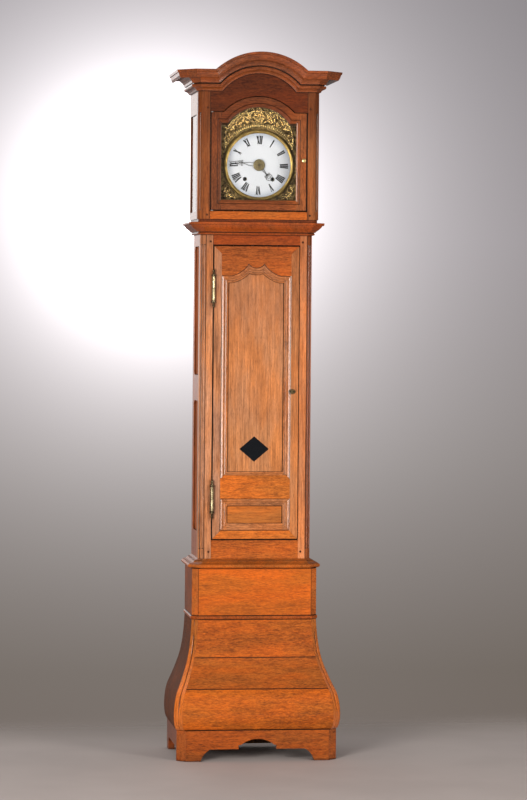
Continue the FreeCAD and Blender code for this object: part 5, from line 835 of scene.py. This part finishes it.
minute = add_piece("minute_hand_openwork", turned_sheet(minute_sheet, MINUTE_HAND_TURN),
                   minute_sheet.faces, hand_steel, "centre_arbor")
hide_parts("minute_hand")
hour_sheet = hand_sheet(HOUR_LINES, HOUR_HAND_Y)
hour_points = turned_sheet(hour_sheet, HOUR_HAND_TURN)
hour_faces = list(hour_sheet.faces)
pipe_start = len(hour_points)
for y in (PIPE_FRONT, PIPE_BACK):
    for side in range(TURN_SIDES):
        turn = 2 * math.pi * side / TURN_SIDES
        for radius in (PIPE_RADIUS, PIPE_BORE):
            hour_points.append((DIAL_X + radius * math.sin(turn), y,
                                DIAL_Z + radius * math.cos(turn)))
back = 2 * TURN_SIDES
for side in range(TURN_SIDES):
    after = (side + 1) % TURN_SIDES
    front_out, front_in = pipe_start + 2 * side, pipe_start + 2 * side + 1
    next_out, next_in = pipe_start + 2 * after, pipe_start + 2 * after + 1
    hour_faces += [[front_out, next_out, next_out + back, front_out + back],
                   [next_in, front_in, front_in + back, next_in + back],
                   [front_in, next_in, next_out, front_out],
                   [front_out + back, next_out + back, next_in + back, front_in + back]]
hour = add_piece("hour_hand_openwork", hour_points, hour_faces, hand_steel, "hour_pipe")
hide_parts("hour_hand")


# Pressed brass frieze: scrolls, leaves and a flower basket raised from the plate

class Relief:
    """A height field over the plate, in dial coordinates in millimetres."""

    def __init__(self, low, high, pitch):
        self.xs = np.arange(low[0], high[0] + pitch / 2, pitch)
        self.zs = np.arange(low[1], high[1] + pitch / 2, pitch)
        self.height = np.zeros((len(self.zs), len(self.xs)))

    def dome(self, x, z, radius, tall):
        columns = np.where(np.abs(self.xs - x) < radius)[0]
        rows = np.where(np.abs(self.zs - z) < radius)[0]
        if not len(columns) or not len(rows):
            return
        part = np.ix_(rows, columns)
        away = ((self.xs[columns][None, :] - x) ** 2 + (self.zs[rows][:, None] - z) ** 2)
        bulge = tall * np.sqrt(np.clip(1 - away / radius ** 2, 0, 1))
        self.height[part] = np.maximum(self.height[part], bulge)

    def line(self, control, radii, tall):
        """A raised line through points, mirrored to the other side."""
        points = curve_points(control, 26)
        for index, (x, z) in enumerate(points):
            share = index / (len(points) - 1)
            radius = np.interp(share, np.linspace(0, 1, len(radii)), radii)
            for side in (-1, 1):
                self.dome(side * x, z, radius, tall * min(1.0, radius / max(radii) + 0.3))

    def leaf(self, x, z, degrees, length, wide, tall):
        """A pointed leaf with a sunk midrib, mirrored to the other side."""
        turn = math.radians(degrees)
        for step in range(int(length * 2.2)):
            share = step / (length * 2.2 - 1)
            radius = max(0.5, 0.5 * wide * math.sin(math.pi * min(1, share * 1.02)) ** 0.7)
            for lift in (-0.42, 0.42):
                px = x + math.cos(turn) * length * share - math.sin(turn) * radius * lift
                pz = z + math.sin(turn) * length * share + math.cos(turn) * radius * lift
                for side in (-1, 1):
                    self.dome(side * px, pz, 0.62 * radius + 0.3, tall)

    def flower(self, x, z, size, petals, tall):
        for petal in range(petals):
            turn = 2 * math.pi * petal / petals
            for side in (-1, 1):
                self.dome(side * (x + 0.62 * size * math.cos(turn)),
                          z + 0.62 * size * math.sin(turn), 0.42 * size, tall)
        for side in (-1, 1):
            self.dome(side * x, z, 0.3 * size, tall * 1.25)


relief = Relief((-132, -122), (132, 202), 0.9)
for step in range(-60, 61):
    turn = math.radians(step)
    for radius in (131.0, 146.0):
        relief.dome(radius * math.sin(turn), radius * math.cos(turn), 1.5, 1.6)
for step in range(-19, 20):
    turn = math.radians(step * 3.1)
    for radius, size in ((135.6, 2.7), (138.6, 3.4), (141.6, 2.7)):
        relief.dome(radius * math.sin(turn), radius * math.cos(turn), size, 2.3)
for row in range(5):
    wide = 9.5 + 1.6 * row
    for spot in np.linspace(-wide, wide, 7 + row):
        relief.dome(spot, 150.5 + 3.3 * row, 1.9, 3.2)
relief.line([(0, 149.5), (8, 148.8), (11, 149.6)], (1.6, 1.6), 3.4)
relief.line([(0, 167), (10, 167.5), (18, 166.5)], (1.8, 1.8), 3.8)
for x, z, size in ((0, 176, 7.5), (9.5, 173, 6.2), (17, 171.5, 5.0), (6, 183, 5.0), (14, 180, 4.6)):
    relief.flower(x, z, size, 6, 3.6)
relief.line([(17, 150), (30, 157), (45, 168), (62, 168), (76, 158), (82, 144), (74, 134),
             (63, 138), (63, 148), (70, 150)], (3.6, 4.6, 4.2, 3.2, 2.2), 4.2)
relief.line([(22, 166), (34, 175), (48, 178), (57, 175)], (2.4, 3.0, 1.2), 3.2)
relief.flower(70.5, 144, 5.4, 6, 3.6)
for x, z, size in ((0, 189, 5.4), (9, 190, 4.4), (26, 184, 5.2), (44, 187, 4.4), (66, 174, 4.6)):
    relief.flower(x, z, size, 6, 3.2)
for x, z, degrees, length, wide in (
        (14, 187, 18, 13, 6), (30, 186, -14, 18, 7), (46, 182, -4, 18, 7), (62, 177, -30, 17, 7),
        (74, 168, -24, 17, 7), (84, 160, -42, 17, 7), (94, 148, -40, 16, 7), (36, 181, 196, 12, 6)):
    relief.leaf(x, z, degrees, length, wide, 3.0)
for x, z, degrees, length, wide in (
        (27, 156, 62, 19, 8), (38, 164, 78, 15, 7), (50, 170, 40, 17, 7), (60, 168, 12, 20, 8),
        (72, 162, -8, 20, 8), (80, 152, -30, 19, 8), (42, 163, -62, 17, 8), (54, 166, -78, 18, 8),
        (32, 156, -38, 18, 7), (86, 140, -52, 20, 8), (58, 142, 200, 16, 7),
        (84, 128, -12, 22, 8), (92, 132, 40, 16, 7)):
    relief.leaf(x, z, degrees, length, wide, 3.2)
relief.line([(98, 134), (110, 126), (118, 112), (112, 100), (103, 104), (106, 112)],
            (2.2, 3.0, 2.6, 1.6), 3.2)
relief.line([(119, 100), (121, 84), (114, 72), (107, 78)], (2.4, 2.6, 1.4), 2.8)
for x, z, degrees, length, wide in (
        (112, 124, 58, 14, 6), (116, 112, 10, 9, 5), (118, 96, -40, 10, 6), (116, 88, 200, 12, 5),
        (120, 72, -100, 16, 6), (104, 96, 150, 10, 5)):
    relief.leaf(x, z, degrees, length, wide, 2.8)
relief.flower(107, 107, 4.2, 5, 3.0)
relief.line([(121, -74), (119, -90), (111, -102), (96, -112), (80, -117)], (1.6, 2.6, 2.8, 2.4, 1.2),
            3.0)
for x, z, degrees, length, wide in (
        (119, -86, 118, 15, 6), (116, -96, 150, 15, 6), (108, -104, 170, 14, 6),
        (112, -102, -45, 13, 6), (98, -111, 150, 13, 6), (100, -110, -70, 10, 5),
        (118, -92, -20, 8, 5), (86, -115, 120, 8, 5)):
    relief.leaf(x, z, degrees, length, wide, 2.8)
relief.flower(112, -108, 5.0, 6, 3.2)

ARCH_HALF, ARCH_RISE, ARCH_TOP, SHOULDER = 112.0, 65.0, 203.0, 138.0
ARCH_EDGE, ENAMEL_CLEAR, RELIEF_BACK, RELIEF_TALL = 1.5, 124.0, 0.0003, 3.6
arch_radius = (ARCH_HALF ** 2 + ARCH_RISE ** 2) / (2 * ARCH_RISE)
arch_middle = ARCH_TOP - arch_radius
for step in range(10):
    turn = math.radians(4.0 + 6.4 * step)
    reach = arch_radius - 5.5
    relief.leaf(reach * math.sin(turn), arch_middle + reach * math.cos(turn),
                160.0 - math.degrees(turn), 11, 6.5, 2.9)
    relief.dome(reach * math.sin(turn), arch_middle + reach * math.cos(turn), 2.6, 3.0)
    relief.dome(-reach * math.sin(turn), arch_middle + reach * math.cos(turn), 2.6, 3.0)
grid_x, grid_z = np.meshgrid(relief.xs, relief.zs)
under_arch = np.hypot(grid_x, grid_z - arch_middle) <= arch_radius - ARCH_EDGE
inside = (grid_z <= SHOULDER) | under_arch & (np.abs(grid_x) < ARCH_HALF - 1)
keep = inside & (np.hypot(grid_x, grid_z) > ENAMEL_CLEAR)
number = -np.ones(keep.shape, int)
number[keep] = np.arange(keep.sum())
grid_points = np.stack((DIAL_X + grid_x[keep] * MM,
                        PLATE_Y - RELIEF_BACK - relief.height[keep] * MM,
                        DIAL_Z + grid_z[keep] * MM), axis=1)
corners = np.stack((number[:-1, :-1], number[:-1, 1:], number[1:, 1:], number[1:, :-1]), axis=-1)
quads = corners[(corners >= 0).all(axis=-1)]


def frieze_material():
    """Gilt on the raised parts, blackened in the ground."""
    sh = material("pressed_brass")
    raised = sh.node("ShaderNodeAttribute", attribute_name="raised").outputs["Fac"]
    place = sh.spot()
    cloud = sh.noise(place, 130.0, 4.0, 0.6)
    level = sh.math("ADD", raised, sh.centred(cloud, 0.5))
    gilt = sh.mix(sh.span(cloud, 0.35, 0.7), (0.66, 0.46, 0.19), (0.38, 0.25, 0.09))
    ground = sh.mix(sh.span(cloud, 0.40, 0.62), (0.035, 0.022, 0.010), (0.17, 0.11, 0.042))
    shade = sh.mix(sh.span(level, 0.16, 0.62), ground, gilt)
    rough = sh.span(level, 0.1, 0.7, 0.55, 0.24)
    chased = sh.bump(sh.noise(place, 190.0, 3.0, 0.6), 0.9, 0.0030)
    normal = sh.bump(sh.noise(place, 800.0, 3.0), 0.25, 0.0005, chased)
    return sh.surface(sh.principled(base_color=shade, metallic=1.0, roughness=rough,
                                    normal=normal))


frieze = add_piece("frieze_relief", grid_points.tolist(), quads.tolist(), frieze_material(),
                   "case", smooth=True)
layer = frieze.data.attributes.new("raised", "FLOAT", "POINT")
layer.data.foreach_set("value", np.clip(relief.height[keep] / RELIEF_TALL, 0, 1).astype(np.float32))


# Lines from the drums to the weights, each a tube over the length of its line in the model

LINE_RINGS, LINE_SIDES = 60, 12


def stretching_line(node):
    low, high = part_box(node)
    x, y = ((low[axis] + high[axis]) / 2 for axis in (0, 1))
    radius = (high[0] - low[0]) / 2
    points = []
    for ring in range(LINE_RINGS + 1):
        level = high[2] + (low[2] - high[2]) * ring / LINE_RINGS
        for side in range(LINE_SIDES):
            turn = 2 * math.pi * side / LINE_SIDES
            points.append((x + radius * math.cos(turn), y + radius * math.sin(turn), level))
    faces = []
    for ring in range(LINE_RINGS):
        for side in range(LINE_SIDES):
            start, after = ring * LINE_SIDES + side, ring * LINE_SIDES + (side + 1) % LINE_SIDES
            faces.append([after, start, start + LINE_SIDES, after + LINE_SIDES])
    faces.append(list(range(LINE_SIDES)))
    faces.append([LINE_RINGS * LINE_SIDES + side for side in reversed(range(LINE_SIDES))])
    piece = add_piece(node + "_run", points, faces, cord_fibre, None)
    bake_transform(piece)
    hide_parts(node)


stretching_line("going_line")
stretching_line("striking_line")


# Floor, backdrop light, lamps and camera

FADE_START, FADE_END = 0.17, 1.10
FLOOR_HALF, FLOOR_FRONT, FLOOR_BACK = 9, -14, 4


def floor_material():
    """Pale studio floor with painted shadow under and about the clock, which fades into the backdrop
    behind the clock.
    """
    sh = material("studio_floor")
    cloud = sh.noise(sh.spot(), 2.2, 3.0)
    shade = sh.mix(sh.span(cloud, 0.3, 0.7), srgb(185, 175, 173), srgb(193, 183, 181))
    # Painted shadow: darker under and about the clock (ambient occlusion).
    shade = darkened(sh, shade, sh.span(sh.hollows(0.11), 0.30, 0.85), 0.08)
    ground = sh.principled(base_color=shade, roughness=0.75)
    clear = sh.node("ShaderNodeBsdfTransparent").outputs[0]
    away = sh.span(sh.position()[1], FADE_START, FADE_END)
    blend = sh.node("ShaderNodeMixShader", {0: away, 1: ground, 2: clear})
    return sh.surface(blend.outputs[0])


floor_mesh = bpy.data.meshes.new("studio_floor")
floor_mesh.from_pydata([(-FLOOR_HALF, FLOOR_FRONT, 0), (FLOOR_HALF, FLOOR_FRONT, 0),
                        (FLOOR_HALF, FLOOR_BACK, 0), (-FLOOR_HALF, FLOOR_BACK, 0)], [],
                       [(0, 1, 2, 3)])
floor = bpy.data.objects.new("studio_floor", floor_mesh)
bpy.context.scene.collection.objects.link(floor)
floor_mesh.materials.append(floor_material())

world = bpy.data.worlds.new("studio")
bpy.context.scene.world = world
sky = Shader(world)
direction = sky.node("ShaderNodeTexCoord").outputs["Generated"]
dx, dy, dz = sky.node("ShaderNodeSeparateXYZ", {0: direction}).outputs
ahead = sky.math("MAXIMUM", dy, 0.05)
across = sky.math("DIVIDE", dx, ahead)
up = sky.math("DIVIDE", dz, ahead)
plain = sky.ramp(sky.span(up, -0.16, 0.10, smooth=False), [
    (0.0, srgb(108, 97, 89)), (0.14, srgb(101, 92, 83)), (0.42, srgb(116, 109, 105)),
    (0.7, srgb(124, 118, 120)), (1.0, srgb(112, 107, 110))])
GLOW_ACROSS, GLOW_UP, GLOW_WIDTH, GLOW_LEVEL = 0.101, 0.034, 0.0207, 6.4
side = sky.math("DIVIDE", sky.math("SUBTRACT", across, GLOW_ACROSS), GLOW_WIDTH)
rise = sky.math("SUBTRACT", up, GLOW_UP)
lift = sky.math("MAXIMUM", sky.math("DIVIDE", rise, 0.93 * GLOW_WIDTH),
                sky.math("DIVIDE", rise, -0.99 * GLOW_WIDTH))
away = sky.math("ADD", sky.math("MULTIPLY", side, side), sky.math("MULTIPLY", lift, lift))
glow = sky.math("DIVIDE", GLOW_LEVEL, sky.math("ADD", away, 1.0))
low = sky.span(up, -0.14, -0.03, 0.62, 1.0)
glow = sky.math("MULTIPLY", glow, low)
tinted_glow = sky.vector(glow, sky.scaled(glow, 0.955), sky.scaled(glow, 0.985))
backdrop = sky.mix(1.0, plain, tinted_glow, "ADD")
seen = sky.node("ShaderNodeBackground", {"Color": backdrop, "Strength": 1.0}).outputs[0]
lit = sky.node("ShaderNodeBackground", {
    "Color": colour((1.0, 0.97, 0.93)), "Strength": sky.span(dz, 0.0, 0.9, 0.50, 0.18)}).outputs[0]
left_rear = sky.math("MULTIPLY", sky.span(dy, 0.05, 0.6), sky.span(dx, 0.10, -0.02))
height = sky.span(dz, -0.075, 0.012, 0.10, 1.35)
glint = sky.math("ADD", sky.math("MULTIPLY", left_rear, height), sky.span(dz, 0.2, 0.7, 0.07, 0.35))
mirrored = sky.node("ShaderNodeBackground", {
    "Color": colour((1.0, 0.97, 0.96)), "Strength": glint}).outputs[0]
rays = sky.node("ShaderNodeLightPath").outputs
shown = sky.math("MAXIMUM", rays["Is Camera Ray"], rays["Is Transmission Ray"])
indirect = sky.node("ShaderNodeMixShader", {0: rays["Is Glossy Ray"], 1: lit, 2: mirrored})
sky.surface(sky.node("ShaderNodeMixShader", {0: shown, 1: indirect.outputs[0], 2: seen}).outputs[0])


LAMP_AIM = (0, 0, 1.2)


def softbox(name, place, width, height, watts, tint):
    lamp = bpy.data.lights.new(name, "AREA")
    lamp.shape = "RECTANGLE"
    lamp.size, lamp.size_y = width, height
    lamp.energy = watts
    lamp.color = tint
    holder = bpy.data.objects.new(name, lamp)
    bpy.context.scene.collection.objects.link(holder)
    holder.location = place
    holder.rotation_euler = (Vector(LAMP_AIM) - Vector(place)).to_track_quat("-Z", "Y").to_euler()


softbox("key_left", (-3.1, -5.0, 1.7), 2.0, 2.6, 312, (1.0, 0.96, 0.90))
softbox("fill_right", (3.4, -4.4, 1.6), 1.6, 2.2, 131, (1.0, 0.95, 0.88))

lens = bpy.data.cameras.new("camera")
camera = bpy.data.objects.new("camera", lens)
bpy.context.scene.collection.objects.link(camera)
FOCAL_PIXELS, LONG_SIDE, SHIFT_PIXELS = 3002.0, 800.0, -96.2
HEADING, LEVEL, ROLL = (math.radians(angle) for angle in (-7.72, 90.0, 0.47))
lens.sensor_width = 36.0
lens.lens = FOCAL_PIXELS / LONG_SIDE * lens.sensor_width
lens.shift_y = SHIFT_PIXELS / LONG_SIDE
camera.location = (-1.384, -10.435, 1.578)
camera.rotation_euler = (Matrix.Rotation(HEADING, 3, "Z") @ Matrix.Rotation(LEVEL, 3, "X")
                         @ Matrix.Rotation(ROLL, 3, "Z")).to_euler()
bpy.context.scene.camera = camera
bpy.context.scene.view_settings.view_transform = "Standard"
